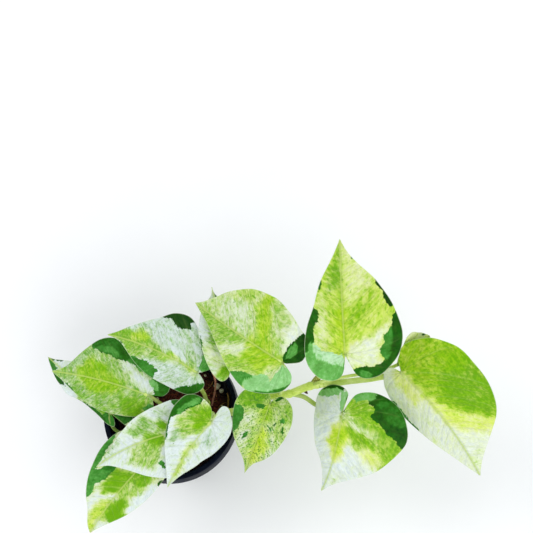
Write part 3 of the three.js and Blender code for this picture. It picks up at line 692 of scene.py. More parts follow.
# The midrib starts at the junction and lies by its heading from +X, its rise and its roll in
# degrees. It droops toward the tip, its lobes droop by the heel, and it bows sideways.
# A half has its fold, its curl, and its margin as (along the midrib, out from it).
# A wash tints the ground softly with (lime, green): how yellow it is, and how much green
# mottles it. A patch is a clear-edged sector, from 0 deep green to 1 pale sage. Some blades
# have freckles and some petioles are greener, each from 0 to 1.
LEAVES = {
    "leaf_runner_top": {
        "junction": (127.6, 27.2, 168.5), "heading": 90, "length": 89.5, "rise": 6, "droop": 26, "roll": 0,
        "bow": 1, "heel": 16, "phase": 20,
        "left": (6, -34, ((-7, 0.8), (-12.3, 1.4), (-16.5, 4), (-18.4, 10), (-16.5, 18), (-10, 24.4),
            (-2, 27.3), (8, 27.5), (20, 25), (34, 20), (52, 15), (72, 6))),
        "right": (10, -18, ((-10, 5), (-15, 9), (-16.6, 15), (-14.4, 23.6), (-8.5, 30.5), (-1, 36.5),
            (8, 40), (19, 40), (37, 34), (54, 24), (72, 8))),
        "petiole": (1.9, ((110, 17.5, 115), (113, 21, 121), (118, 22.2, 133), (124, 24.6, 152))),
        "ground": (0.78, 0.4),
        "washes": (
            (0.3, 0.05, ((-9, -5), (0, -1), (4, -4), (8, -10), (12, -18), (18, -26), (22, -33), (14, -30),
                (6, -25), (-2, -24), (-6, -28), (-8, -20))),
            (1.0, 0.3, ((0, 5), (12, 6), (30, 5), (34, 0), (30, -4), (14, -3), (2, -2))),
            (0.5, 0.25, ((2, 12), (2, 19), (8, 24), (20, 20), (34, 18), (44, 14), (30, 11), (14, 11))),
            (0.75, 0.7, ((42, 9), (52, 9), (66, 6), (80, 2), (88, 0.5), (74, 0), (52, 0), (46, 4))),
            (0.52, 0.16, ((34, -2), (60, -1.5), (84, -1), (72, -10), (56, -24), (44, -18))),
            (0.85, 0.52, ((14, -2), (22, -4), (32, -9), (42, -15), (48, -20), (40, -21), (30, -15),
                (20, -8))),
            (0.8, 0.32, ((6, -3), (14, -6), (24, -16), (32, -26), (24, -25), (12, -12))),
            (0.75, 0.3, ((22, -26), (32, -24), (52, -23), (36, -33), (24, -33))),
        ),
        "patches": (
            # The pale sage of the left lobe is partly its own tone and partly a painted reflection of the
            # sky on the curled lobe.
            (0.62, ((-18, 12), (-16.5, 18), (-10, 24), (-2, 27), (6, 26), (9, 24), (3, 22), (-3, 20),
                (-6, 14), (-6, 6), (-3, 1.2), (-6, -0.9), (-14, -0.9), (-20, 4))),
            (0.95, ((-9, 2), (-7, 8), (-5.5, 14), (-2, 19), (4, 21.5), (6.5, 20), (2, 15), (0.5, 9),
                (-1, 3), (-4, 1.5))),
            (0.15, ((-4, 27), (2, 25.6), (8, 24.8), (14, 26.5), (16, 29), (6, 29), (-4, 29))),
            (0.12, ((8.5, 21.5), (9, 28), (20, 26), (28, 23), (37, 19.4), (30, 17.2), (21, 17.4),
                (19.5, 20), (14, 20.2))),
            (0.2, ((45, 16), (52, 16), (60, 13), (70, 8.5), (78, 4.5), (72, 5), (60, 10.6), (50, 14.3))),
            (0.12, ((-9.5, -5.5), (-10, -9), (-8.5, -14), (-8, -19), (-6.5, -23), (-4.5, -29.5), (-7, -32),
                (-14, -26), (-18, -15), (-15, -8))),
            (0.42, ((-15.5, -11), (-13.5, -9.5), (-10.5, -12), (-11.5, -15), (-14, -18), (-15.8, -15))),
            (0.08, ((-5, -29.5), (0, -31), (10, -32), (20, -34), (27, -34.5), (32, -35.5), (24, -38),
                (19, -42), (8, -42), (-3, -38))),
            (0.4, ((-4, -29.5), (-2, -26), (1, -23.8), (4, -24), (7, -27), (12, -27.5), (15, -30.5),
                (20, -33.8), (12, -33), (4, -32), (0, -31))),
            (0.0, ((33, -33), (35, -31), (40, -28.5), (44, -28), (49, -24.5), (57, -21.5), (58, -25),
                (48, -31), (40, -36), (35, -36.5))),
            (0.2, ((70, -7.5), (76, -5), (80, -4.2), (76, -7), (71, -9))),
        ),
    },
    "leaf_runner_right": {
        "junction": (171, 20, 138), "heading": -53, "length": 91, "rise": 0, "droop": 22, "roll": 4,
        "bow": 3, "heel": 10, "phase": 200,
        "left": (2, -10, ((-8, 4), (-15, 15), (-8, 32), (8, 43), (26, 44.5), (47, 42), (64, 33.5),
            (76, 16.5), (84, 6))),
        "right": (-44, -20, ((-8, 4), (-9, 12), (0, 21), (14, 27), (32, 27.5), (54, 21.5), (74, 10.5))),
        "petiole": (2.5, ((113, 15.9, 116.2), (123, 16.2, 117.4), (135, 17.8, 117.4), (150, 19.3, 118.5),
            (164, 20.5, 125))),
        "ground": (0.24, 0.0),
        "washes": (
            (1.0, 0.6, ((-20, 2), (-6, 0), (20, 0), (34, 2), (46, 10), (58, 21), (70, 33), (60, 44),
                (44, 50), (20, 52), (0, 46), (-18, 30))),
            (1.0, 0.52, ((-16, 8), (-2, 2), (16, 1), (20, 10), (10, 22), (-2, 30), (-12, 26))),
            (0.9, 0.76, ((18, 18), (32, 12), (48, 18), (58, 28), (66, 36), (50, 45), (28, 46), (20, 36))),
            (0.7, 0.06, ((20, 0), (48, 0), (58, 7), (72, 26), (67, 32), (56, 20), (44, 10), (32, 3))),
            (0.64, 0.0, ((-3, -1), (-4, -7), (8, -10.5), (14, -12.5), (23, -12.5), (24, -2.5), (10, 0))),
            (0.3, 0.22, ((72, 10), (80, 8.5), (86, 2.5), (78, 2.5))),
            (0.25, 0.14, ((30, -6.5), (34, -15), (42, -17), (40, -7))),
        ),
        "patches": (
            (0.3, ((40, 45), (52, 43), (60, 39.5), (67, 32.5), (61, 35.5), (52, 40), (44, 42.5))),
            (0.38, ((6, -25), (12, -24), (20, -24.5), (30, -26), (28, -30.5), (14, -29.5))),
            (0.3, ((29, -26), (40, -24.5), (50, -22), (46, -25.5), (36, -29), (28, -30.5))),
            (0.2, ((-9.5, -10), (-7, -13.5), (-5, -16.5), (-9, -17))),
        ),
    },
    "leaf_runner_low": {
        "junction": (128, -8, 128), "heading": -111, "length": 72, "rise": -22, "droop": 42, "roll": 14,
        "bow": 4, "heel": 20, "phase": 90,
        "left": (-8, -16, ((-9, 2), (-18, 5), (-25, 17), (-24, 33), (-15, 44), (1, 50), (18, 43), (36, 31),
            (50, 14), (62, 4))),
        "right": (-22, -10, ((-8, 0.8), (-15, 1.2), (-18.6, 7), (-18.7, 15), (-15.5, 21.5), (-8.5, 26.5),
            (4, 27), (16, 26), (34, 20), (49, 8), (61, 3))),
        "petiole": (1.9, ((91, 10.5, 108.5), (102, 7.8, 107.6), (111, 1.9, 107.4), (120.5, -3.6, 115))),
        "ground": (0.1, 0.0), "stalk_green": 0.35,
        "washes": (
            (0.8, 0.62, ((-16, 2), (-18, 14), (-16, 24), (-10, 27), (-6, 29), (-2, 36), (3, 43), (8, 48),
                (16, 47), (26, 42), (38, 32), (30, 33), (22, 32), (17, 27), (17, 20), (22, 15), (20, 9),
                (12, 3), (2, 1))),
            (0.3, 0.25, ((-2, 3), (0, 12), (3, 20), (8, 27), (11, 26), (8, 14), (6, 6), (3, 2))),
            (1.0, 0.75, ((8, 6), (9, 14), (14, 21), (18, 30), (24, 33), (20, 26), (16, 17), (12, 8))),
            (0.62, 0.08, ((18, 22), (19, 28), (24, 32), (31, 33), (33, 27), (30, 20), (22, 17))),
            (0.95, 0.2, ((6, 3), (14, 7), (20, 5), (35, 3), (37, 0), (28, -3), (27, -9), (20, -8),
                (12, -6), (7, -1))),
            (0.3, 0.3, ((48, 10), (56, 7), (64, 3), (58, 1.5), (50, 5))),
        ),
        "patches": (
            (0.1, ((-26, 31), (-24.5, 20), (-20, 18), (-17, 15), (-15, 15.5), (-13, 21), (-9, 21.5),
                (-7, 20), (-5.5, 22), (-4, 26), (-1, 31), (2, 35), (4, 39), (7, 42.5), (12, 47), (4, 52),
                (-10, 50), (-20, 44))),
            (0.25, ((-24, 33), (-22, 24), (-17, 20), (-12, 25), (-8, 32), (-6, 42), (-12, 47), (-20, 41))),
            (0.62, ((-24.5, 20), (-20, 18), (-17, 12), (-12, 6), (-16, 4.5), (-20, 7), (-23.5, 13))),
            (0.22, ((-22, 8), (-16, 4.6), (-8, 2.6), (0, 1.3), (-8, 0), (-16, 1), (-22, 5))),
            (0.3, ((30, 37), (34, 34), (38, 31), (38, 29.5), (33, 32.5), (28, 35.6))),
            (0.74, ((-17, -9), (-12, -9.5), (-9, -14), (-7, -18), (-5, -22), (-3.5, -27), (-8, -27),
                (-12, -22), (-15.5, -16))),
            (0.82, ((-16, -1), (-10, 0), (-4, 0), (-1.5, -2), (-8, -5), (-15, -6.5))),
            (0.05, ((-19, -1), (-16.5, -3), (-16.4, -8), (-16.4, -13), (-13.5, -20), (-7, -27), (-13, -28),
                (-20, -18), (-21, -8))),
        ),
    },
    "leaf_runner_young": {
        "junction": (171, 29, 122), "heading": 41, "length": 33, "rise": 14, "droop": 14, "roll": 0,
        "bow": 0, "heel": 0, "phase": 0,
        "left": (46, 40, ((3, 4), (10, 10), (17, 16), (22, 16.5), (26, 11.5), (29, 7))),
        "right": (46, 40, ((3, 3), (10, 8), (19, 10), (28, 6))),
        "petiole": (1.3, ((107, 15, 114), (111.5, 16.2, 119.8), (118, 17.4, 122.2), (135, 21, 121.8),
            (156, 24.4, 121))),
        "ground": (0.5, 0.1),
        "washes": (
            (0.85, 0.4, ((0, -8), (16, -8), (30, -5), (30, 1), (0, 2))),
        ),
        "patches": (
            (0.2, ((27, 8), (28, 4), (31, 2), (31, -2), (28, -5), (34, -4), (35, 3))),
        ),
    },
    "leaf_arch_top": {
        "junction": (85, 22, 164), "heading": 142, "length": 85, "rise": -2, "droop": 28, "roll": 0,
        "bow": 2, "heel": 20, "phase": 250,
        "left": (-8, -36, ((-6.7, 1.7), (-11, 4), (-13.3, 9), (-11.3, 17.2), (-3.9, 24), (5, 28.5),
            (14, 30), (28, 26), (45, 17), (64, 7))),
        "right": (8, -18, ((-5, 3), (-10, 10), (-6, 22), (5, 27), (18, 33), (34, 37), (52, 33), (66, 20),
            (77, 6))),
        "petiole": (1.9, ((84.4, 9.7, 106), (84.8, 12.5, 120), (84.4, 17.5, 150))),
        "ground": (0.42, 0.38),
        "washes": (
            (1.0, 0.5, ((-2, 0), (2, 4), (7, 10), (12, 14), (20, 18), (26, 17), (27, 8), (30, 2), (30, -3),
                (12, -3))),
            (0.65, 0.5, ((14, 14), (22, 20), (34, 22), (46, 18), (34, 15), (24, 13))),
            (0.3, 0.22, ((25, 5), (27, 10), (36, 16), (42, 20), (48, 17), (40, 10), (34, 5))),
            (0.62, 0.64, ((34, 1), (40, 9), (50, 13), (62, 9.5), (74, 5), (82, 1), (60, 0))),
            (0.2, 0.06, ((-1, -20), (2, -9), (3, -3), (6, -6), (9, -18), (13, -29), (5, -28))),
            (0.45, 0.42, ((4, -2), (14, -2), (22, -9), (30, -18), (38, -28), (42, -38), (26, -36),
                (16, -30), (9, -20), (6, -9))),
            (0.95, 0.4, ((12, -1), (22, -3), (30, -12), (38, -22), (42, -36), (34, -34), (24, -18),
                (15, -8))),
            (0.34, 0.36, ((34, -3), (56, -3), (64, -10), (58, -20), (44, -18), (38, -10))),
            (0.6, 0.42, ((44, -24), (62, -20), (58, -32), (44, -36))),
        ),
        "patches": (
            # The pale sage lobe is partly its own tone and partly a painted reflection of the sky.
            (0.8, ((-13, 10), (-8, 19), (0, 26), (10, 29), (17, 25), (12, 19), (8, 14), (2, 13.5), (0, 17),
                (-0.5, 8), (-1, 2.5), (-6, 1), (-12, 3.5))),
            (0.3, ((-14, 4), (-11, 12), (-9, 17), (-4, 22.5), (4, 27), (14, 29), (14, 32), (0, 30),
                (-14, 20))),
            (0.42, ((12, 20), (16, 25), (15, 32), (24, 31), (34, 25.5), (31, 23.8), (24, 22), (20, 20),
                (14, 19.5))),
            (0.05, ((0, 0), (-6, -3), (-11, -10), (-8, -18), (-4, -26), (2, -26), (2.5, -20), (1, -17),
                (3, -13), (3, -9), (1.5, -4))),
            (0.48, ((0.4, -3), (-3, -6), (-4, -11), (-1, -16), (1, -17), (3, -13), (3, -9), (1.5, -5))),
        ),
    },
    "leaf_arch_low": {
        "junction": (76.5, 1.7, 113), "heading": -112, "length": 59.5, "rise": -14, "droop": 30, "roll": 0,
        "bow": 0, "heel": 12, "phase": 140,
        "left": (26, -18, ((-5, 2), (-8, 7), (-7, 13), (-2, 19), (8, 22), (22, 20), (34, 15), (48, 4))),
        "right": (20, -18, ((-6, 3), (-9, 12), (-4, 21), (6, 25), (18, 23), (29, 18), (40, 10), (50, 3))),
        "petiole": (1.5, ((75, 8.9, 103.5), (75.5, 8, 108))),
        "ground": (0.5, 0.42), "freckles": 0.72,
        "washes": (
            (0.86, 0.08, ((18, 1), (20, 6), (30, 10), (42, 6), (48, 2), (46, -1), (24, -1))),
            (0.3, 0.3, ((22, 12), (34, 12), (44, 7), (36, 14), (26, 18))),
            (0.8, 0.8, ((-6, -3), (4, -6), (8, -14), (8, -22), (-3, -22), (-8, -11))),
            (0.28, 0.2, ((8, -9), (18, -9), (32, -8), (38, -10), (28, -15), (14, -15))),
            (0.9, 0.45, ((-2, 3), (10, 3), (16, -3), (4, -4))),
        ),
        "patches": (
            (0.42, ((8, -20), (9, -17), (14, -15.5), (22, -16), (27, -17.5), (32, -16), (28, -21),
                (18, -26), (10, -26))),
            (0.4, ((5, 14), (7, 13), (9, 15), (8, 16.5), (5.5, 15.5))),
            (0.25, ((11, 17), (14, 16), (17, 17.5), (14, 18.5))),
            (0.25, ((10, 10), (12, 9), (14, 10.5), (12, 11.5))),
            (0.42, ((13.5, 4), (15.5, 4.5), (18, 9), (16.5, 10.5), (15, 7))),
            (0.15, ((-7.5, 9), (-5.5, 7.5), (-3, 3.5), (-5, 4), (-8, 7))),
            (0.33, ((2, -2), (5, -3), (5.5, -9), (3.5, -11), (2.5, -7))),
            (0.35, ((24, -9), (28, -8), (31, -11), (27, -11.5))),
        ),
    },
    "leaf_back": {
        "junction": (48, 25, 138), "heading": 104, "length": 64, "rise": 5, "droop": 20, "roll": 0,
        "bow": 0, "heel": 12, "phase": 30,
        "left": (10, -16, ((-7, 3), (-9, 9), (-2, 14), (12, 17), (30, 17), (45, 11.5), (56, 2.4))),
        "right": (10, -16, ((-7, 3), (-9, 9), (-2, 16), (12, 20), (30, 18), (45, 9), (56, 1.6))),
        "petiole": (1.6, ((67, 7.1, 101.4), (66, 11, 110), (57, 19, 127))),
        "ground": (0.3, 0.4),
        "washes": (
            (0.95, 0.85, ((-7, 3), (-5, 11), (-1, 9), (0, 2))),
            (0.35, 0.15, ((0, 8), (8, 14), (20, 16), (16, 9), (4, 4))),
            (0.5, 0.7, ((14, 7), (22, 13), (30, 12), (24, 7))),
            (0.02, 0.12, ((20, 13), (30, 16), (44, 13), (40, 9), (28, 12))),
            (0.1, 0.2, ((46, 4), (60, 3), (64, 0), (46, 0))),
        ),
        "patches": (
            (0.25, ((0, 15), (10, 16), (20, 16.2), (28, 16), (20, 19), (6, 19))),
            (0.2, ((44, -2), (54, -0.2), (63, -0.2), (56, -4), (46, -10))),
        ),
    },
    "leaf_left_white": {
        "junction": (23, 22, 130), "heading": 157, "length": 79, "rise": 4, "droop": 30, "roll": -6,
        "bow": -3, "heel": 12, "phase": 300,
        "left": (-14, -20, ((-5, 2), (-9, 7), (-6, 14), (3, 19), (18, 20.5), (34, 20), (46, 16), (56, 10),
            (66, 3))),
        "right": (2, -14, ((-5, 3), (-9, 9), (-3, 18), (9, 26), (21, 33), (34, 31), (46, 22), (60, 12),
            (70, 5))),
        "petiole": (1.7, ((27, 9, 75), (26, 12.3, 92), (24.8, 14, 112))),
        "ground": (0.02, 0.38), "freckles": 0.15,
        "washes": (
            (0.55, 0.6, ((26, 2), (34, 7), (44, 10), (56, 9), (61, 4), (65, 0), (62, -6), (56, -9.5),
                (48, -10.5), (42, -9), (30, -3))),
            (0.95, 0.4, ((44, -2), (58, -2), (60, -7), (50, -9), (44, -7))),
            (0.85, 0.5, ((0, 1.5), (10, 1), (24, 2), (30, 2), (24, -3), (14, -1.5), (2, -1.5))),
            (0.7, 0.7, ((3, -2), (8, -4), (12, -9), (10, -10), (5, -6))),
            (0.1, 0.38, ((8, -8), (20, -12), (24, -20), (16, -24), (9, -18))),
            (0.8, 0.78, ((62, 2), (74, 1), (82, 0), (72, -5), (62, -8))),
        ),
        "patches": (
            (0.2, ((-9, 6), (-4, 6.5), (-1, 9), (0, 11.5), (5, 14), (10, 18), (18, 20), (10, 22.5),
                (-2, 20), (-10, 14))),
            (0.36, ((26, 13.5), (29.5, 15.8), (31, 20.5), (36, 22), (46, 18), (52, 14), (57, 10.5),
                (48, 9.8), (40, 10.6), (33, 12))),
            (0.15, ((55, 11.5), (60, 6.2), (64, 2.2), (70, 1.2), (76, 0.8), (70, 3.5), (62, 8))),
            (0.5, ((-9, -9), (-4, -3), (0, -4), (0.5, -13), (-3, -13), (-6, -12))),
            (0.12, ((1, -13), (4, -16), (6, -19.5), (1, -18))),
            (-0.15, ((17, -24), (20, -24), (24, -22), (27, -22), (30, -23.5), (34, -26), (40, -24),
                (46, -21.5), (42, -28), (33, -33), (24, -35), (14, -32), (19, -29))),
        ),
    },
    "leaf_left_lime": {
        "junction": (-14, 8, 114), "heading": 165, "length": 83, "rise": 0, "droop": 24, "roll": -2,
        "bow": -2, "heel": 12, "phase": 170,
        "left": (-26, -16, ((-4, 3), (-6, 9), (0, 15), (9, 21), (25, 24), (42, 23), (58, 16), (73, 6))),
        "right": (-6, -12, ((-6, 1.6), (-11, 2.6), (-14, 8), (-11, 15), (1, 25), (16, 32), (32, 35),
            (48, 34), (60, 24), (72, 6))),
        "petiole": (1.6, ((2.7, -1.6, 74), (-1.5, 0.6, 87), (-7, 4.4, 103))),
        "ground": (0.45, 0.56),
        "washes": (
            (0.85, 0.8, ((0, 3), (10, 6), (18, 10), (20, 20), (8, 22), (0, 12))),
            (0.95, 0.58, ((22, 2), (32, 9), (46, 11), (56, 5), (61, -5), (57, -15), (46, -15), (36, -9),
                (24, -4))),
            (0.4, 0.6, ((28, 13), (44, 12), (62, 4), (76, 1), (70, 9), (54, 18), (32, 21))),
            (0.08, 0.16, ((-3, -2), (8, -2.5), (16, -5.5), (22, -11.5), (30, -19), (24, -19.5), (16, -16),
                (6, -13), (0, -12))),
            (0.45, 0.6, ((16, -6), (30, -8), (42, -12), (50, -18), (40, -21), (30, -19), (22, -12))),
            (0.35, 0.62, ((58, -8), (70, -4), (76, -3), (66, -14), (58, -22), (50, -24), (56, -16))),
        ),
        "patches": (
            (0.3, ((-13, -2), (-15, -10), (-8, -11.7), (-3, -12.3), (0, -12.8), (-1.5, -9), (-3, -6),
                (-2, -1.5), (-8, -1))),
            (0.68, ((-6, -5), (-5, -9.5), (0, -12), (2, -10), (-1, -6), (-3, -4))),
            (0.45, ((-1, -13), (8, -14.5), (16, -17), (24, -19.6), (30, -22), (26, -25), (10, -19),
                (0, -17))),
            (0.22, ((26, -19.5), (32, -19), (42, -21.5), (52, -23), (58, -24.5), (56, -30), (48, -37),
                (38, -37), (20, -30))),
            (0.42, ((34, -20), (44, -22), (56, -24), (50, -27), (40, -27), (32, -24))),
            (0.5, ((-6, 7), (-1, 7), (2, 11), (0, 14), (-6, 11))),
            (0.25, ((8, 20.6), (20, 23.4), (40, 22.6), (52, 19), (60, 15), (52, 21), (36, 26), (14, 25))),
            (0.3, ((60, 13.5), (68, 7.5), (76, 3), (83, 0.6), (80, 4), (68, 11))),
        ),
    },
    "leaf_left_edge": {
        "junction": (-44.9, -2.4, 96), "heading": 140, "length": 81.5, "rise": -8, "droop": 22, "roll": 0,
        "bow": 0, "heel": 12, "phase": 60,
        "left": (-26, -20, ((-6, 2), (-9, 6), (-2, 8.5), (10, 8), (24, 8.6), (36, 11), (44, 12.8),
            (54, 11.4), (64, 8.4), (74, 4))),
        "right": (6, -10, ((-9, 1), (-16, 1), (-18.5, 4), (-15, 10), (-4, 16), (12, 20), (30, 19),
            (46, 14), (59.5, 8.8), (74, 1.8))),
        "petiole": (1.4, ((2.7, -1.8, 70), (-18, -14.5, 77), (-33.6, -17.6, 86), (-42.5, -13, 91),
            (-44.8, -7, 93.5))),
        "ground": (0.12, 0.3), "stalk_green": 0.8,
        "washes": (
            (0.0, 0.04, ((28, 9), (34, 6), (50, 6.5), (56, 12), (44, 14), (32, 12))),
            (0.8, 0.75, ((-4, 6), (10, 4), (28, 7), (40, 6), (30, 2), (8, 0), (-4, 2))),
            (0.02, 0.06, ((58, -1), (72, 0), (74, -2), (64, -6), (58, -8))),
            (0.5, 0.1, ((-18, -2), (-12, -3), (-6, -8), (-12, -12), (-19, -6))),
        ),
        "patches": (
            (0.2, ((-10, 9), (0, 5.4), (10, 5.2), (20, 7), (30, 8.6), (26, 10), (10, 10), (-8, 11))),
            (0.14, ((48, 8), (54, 9.8), (64, 9.4), (72, 6), (66, 6.4), (56, 6.6), (50, 6.8))),
            (0.32, ((64, 1), (67, 6), (68, 9), (78, 3.5), (82, 0), (76, 0.6))),
            (0.08, ((57, -11), (60, -7.6), (66, -4.4), (74, -1), (80, -0.2), (74, -4), (64, -9))),
            (0.25, ((10, -18), (30, -17), (46, -12), (46, -16), (30, -21), (10, -22))),
            (0.3, ((-20, -12), (-20, 4), (-6, 9), (4, 4), (2, -4), (-4, -10), (-12, -16))),
        ),
    },
    "leaf_front_low": {
        "junction": (-8, -32, 103), "heading": -131, "length": 83, "rise": -8, "droop": 28, "roll": -4,
        "bow": -2, "heel": 10, "phase": 220,
        "left": (-12, -16, ((-6, 3), (-9, 9), (-3, 15), (11, 19), (32, 20), (50, 16), (63, 10), (74, 4))),
        "right": (4, -16, ((-6, 3), (-10, 11), (-4, 22), (7, 30), (22, 32), (38, 29), (54, 22), (67, 12),
            (78, 5))),
        "petiole": (1.6, ((18, -3, 68), (9, -13, 82), (-2, -25.5, 96))),
        "ground": (0.4, 0.3),
        "washes": (
            (0.6, 0.5, ((14, 14), (22, 13), (32, 12), (44, 9), (40, 3), (24, 1.5), (16, 4))),
            (0.9, 0.85, ((16, 12), (22, 13), (27, 7), (26, 2), (18, 2), (16, 6))),
            (0.03, 0.06, ((14, 20), (22, 14), (34, 13), (46, 10), (52, 14), (44, 20), (24, 21))),
            (1.0, 0.97, ((41, 3), (45, 9.5), (50, 13), (57, 14.5), (63, 12), (67, 8), (66, 4), (62, 1.5),
                (50, 1))),
            (1.0, 0.9, ((24, 1), (26, -6), (28, -12), (34, -13), (44, -12.5), (49, -10), (49, -6),
                (44, -2), (36, 1))),
            (0.03, 0.0, ((43, -2), (50, -6), (51, -13), (60, -16), (72, -11), (60, -9), (54, -6.5),
                (50, -1))),
            (0.85, 0.3, ((52, 0), (56, -6), (64, -8), (72, -6), (81, -2), (82, 0))),
            (0.03, 0.0, ((66, 6), (70, 2), (80, 1), (74, 5), (67, 9))),
            (0.2, 0.2, ((-8, -10), (6, -10), (20, -14), (24, -24), (8, -28), (-4, -20))),
        ),
        "patches": (
            (0.3, ((25, -13), (33, -13.2), (40, -14.8), (44, -18), (38, -22), (30, -19), (24, -16))),
            (0.45, ((33, -14.4), (40, -15), (48, -17.2), (54, -15.6), (64, -15.4), (56, -22), (42, -29),
                (24, -34), (4, -31), (18, -27.4), (30, -26), (40, -24.6), (36, -20))),
            (0.1, ((9, 20.5), (14, 17), (18, 18.4), (26, 20), (16, 21.5))),
        ),
    },
    "leaf_front_mid": {
        "junction": (17, -18, 117), "heading": -160, "length": 75, "rise": 4, "droop": 30, "roll": 0,
        "bow": -4, "heel": 10, "phase": 110,
        "left": (-4, -18, ((-6, 3), (-10, 10), (-6, 20), (6, 28), (22, 31), (38, 25), (52, 14), (64, 5))),
        "right": (6, -16, ((-6, 3), (-10, 10), (-8, 18), (2, 24), (18, 22), (34, 18), (50, 11), (65, 3))),
        "petiole": (1.6, ((18.5, -3.5, 73), (19, -8, 84), (22, -13.5, 104))),
        "ground": (0.04, 0.1), "freckles": 0.3,
        "washes": (
            (0.5, 0.5, ((22, 3), (24, 14), (28, 20), (40, 18), (48, 10), (46, 2), (34, -1))),
            (1.0, 0.9, ((17, 3), (21, 6), (28, 5), (31, 1), (30, -4), (24, -4), (18, -1))),
            (1.0, 0.97, ((11, -7), (16, -4), (20, -5), (21.5, -9.5), (16, -11.5))),
            (0.4, 0.62, ((24, -3), (36, -4), (42, -10), (36, -16), (26, -17), (22, -10))),
            (0.1, 0.35, ((8, -12), (18, -11), (23, -15), (20, -20), (8, -20))),
            (0.3, 0.6, ((50, -3), (58, -1), (68, -1), (62, -5), (52, -8))),
        ),
        "patches": (
            (0.42, ((23, 19.5), (23.5, 23), (26, 23.5), (27, 20.5), (28, 18.5), (25.5, 17.5))),
            (0.3, ((-2, -20), (4, -21), (6, -24), (0, -25), (-5, -23))),
        ),
    },
    "leaf_front_heart": {
        "junction": (34, -13, 128), "heading": -122, "length": 58, "rise": -4, "droop": 28, "roll": -12,
        "bow": -2, "heel": 14, "phase": 0,
        "left": (-22, -22, ((-7, 0.7), (-13, 1.4), (-15.2, 5.3), (-14, 9.6), (-7.2, 17.1), (5, 21),
            (19, 19), (33, 12), (47, 4))),
        "right": (-6, -14, ((-3, 1), (-8.7, 5.7), (-11.2, 15), (-10, 21.7), (-5, 26.5), (5, 28), (16, 25),
            (32, 17), (46, 7))),
        "petiole": (1.6, ((18.8, -3.8, 75), (24, -3.5, 88), (31, -4, 106), (35, -7.5, 121))),
        "ground": (0.02, 0.12), "freckles": 0.34,
        "washes": (
            (0.0, 0.5, ((5, 5), (7, 11), (17, 12), (20, 6), (12, 3))),
            (0.75, 0.45, ((18, 1), (30, 2), (42, 3), (48, 2), (46, -1), (30, -2.4), (22, -2))),
            (0.55, 0.48, ((-10, -8), (-9, -16), (0, -22), (10, -23), (20, -17), (20, -9), (12, -3),
                (2, 0))),
            (0.95, 0.78, ((-7, -5), (-2, -1), (5, 0.5), (11, -2), (13, -7), (7, -12), (0, -12),
                (-5, -10))),
            (0.15, 0.6, ((17, -11), (25, -11), (31, -15), (22, -18))),
        ),
        "patches": (
            (0.2, ((-13, -14), (-7, -13.5), (-4, -15.5), (0, -19), (5, -20.5), (8, -22.5), (14, -23.3),
                (20, -22), (26, -19.2), (34, -15.6), (28, -23), (16, -29), (4, -32), (-10, -29),
                (-15, -20))),
            (0.55, ((-10, -16), (-7, -13.5), (-4, -15.5), (0, -19), (5, -20.5), (9, -22.5), (6, -24.6),
                (0, -23), (-7, -19))),
            (0.3, ((-10, -5), (-11, -14), (-14, -14), (-12, -5))),
        ),
    },
}
WASH_FEATHER = 8
PATCH_MELD = 1.2
PATCH_DRIFT = 0.4  # the share of a wash's wander that a patch's border has
NO_PATCH = (-20.0, 0.3)  # depth and shade far from any patch
MARGIN_REACH = 1.0
MARGIN_SPILL = 4


def spaced_margin(outline, rows):
    """Points an equal distance apart on the smooth curve through a margin's outline."""
    outline = np.array(outline, float)
    last = len(outline) - 1
    place = np.linspace(0, last, MARGIN_STEPS)
    base = np.minimum(place.astype(int), last - 1)
    t = (place - base)[:, None]
    p0, p1, p2, p3 = (outline[np.clip(base + shift, 0, last)] for shift in (-1, 0, 1, 2))
    leave, arrive = (p2 - p0) / 2, (p3 - p1) / 2
    curve = (
        (2 * p1 - 2 * p2 + leave + arrive) * t ** 3
        + (-3 * p1 + 3 * p2 - 2 * leave - arrive) * t ** 2 + leave * t + p1
    )
    return even_points(curve, rows + 1)[0]


def leaf_axes(leaf):
    """The directions of the midrib, the leaf's left and its upper face at the junction."""
    heading, rise, roll = (math.radians(leaf[key]) for key in ("heading", "rise", "roll"))
    forward = np.array((
        math.cos(rise) * math.cos(heading), math.cos(rise) * math.sin(heading), math.sin(rise),
    ))
    level = np.array((-math.sin(heading), math.cos(heading), 0))
    left = level * math.cos(roll) + np.cross(forward, level) * math.sin(roll)
    return forward, left, np.cross(forward, left)


def blade_points(leaf, along, out, side, lift):
    """Points of the blade: along the midrib, out from it on one side, and lifted off it."""
    forward, left, up = leaf_axes(leaf)
    length = leaf["length"]
    heel, droop = (math.radians(leaf[key]) / length for key in ("heel", "droop"))
    bend = np.where(along < 0, heel / LOBE_SHARE, droop) + 1e-9
    turned = bend * along
    ahead, sunk = np.sin(turned) / bend, (1 - np.cos(turned)) / bend
    share = np.clip(along / length, 0, 1)
    bulge = leaf["bow"] * 4 * share * (1 - share)
    fold, curl = (
        np.radians(np.where(side > 0, leaf["left"][part], leaf["right"][part])) for part in (0, 1)
    )
    curl = curl / CURL_REACH
    spread = (np.sin(fold + curl * out) - np.sin(fold)) / curl
    raised = (np.cos(fold) - np.cos(fold + curl * out)) / curl + lift
    level = [np.asarray(part)[..., None] for part in (ahead, -sunk, bulge + side * spread)]
    up_here = up * np.cos(turned)[..., None] + forward * np.sin(turned)[..., None]
    return (
        np.array(leaf["junction"]) + forward * level[0] + up * level[1] + left * level[2]
        + up_here * raised[..., None]
    )


def inside_by(polygon, along, out):
    """How far each point lies inside a closed outline, in millimetres; negative outside."""
    corners = np.array(polygon, float)
    ends = np.roll(corners, -1, axis=0)
    spots = np.stack([along, out], axis=-1)
    nearest = np.full(along.shape, np.inf)
    inside = np.zeros(along.shape, bool)
    for start, end in zip(corners, ends):
        edge = end - start
        share = np.clip(((spots - start) @ edge) / (edge @ edge), 0, 1)
        nearest = np.minimum(nearest, np.linalg.norm(spots - start - share[..., None] * edge, axis=-1))
        crosses = (start[1] > out) != (end[1] > out)
        rise = edge[1] if edge[1] else 1e-9
        inside ^= crosses & (along < start[0] + (out - start[1]) / rise * edge[0])
    return np.where(inside, nearest, -nearest)


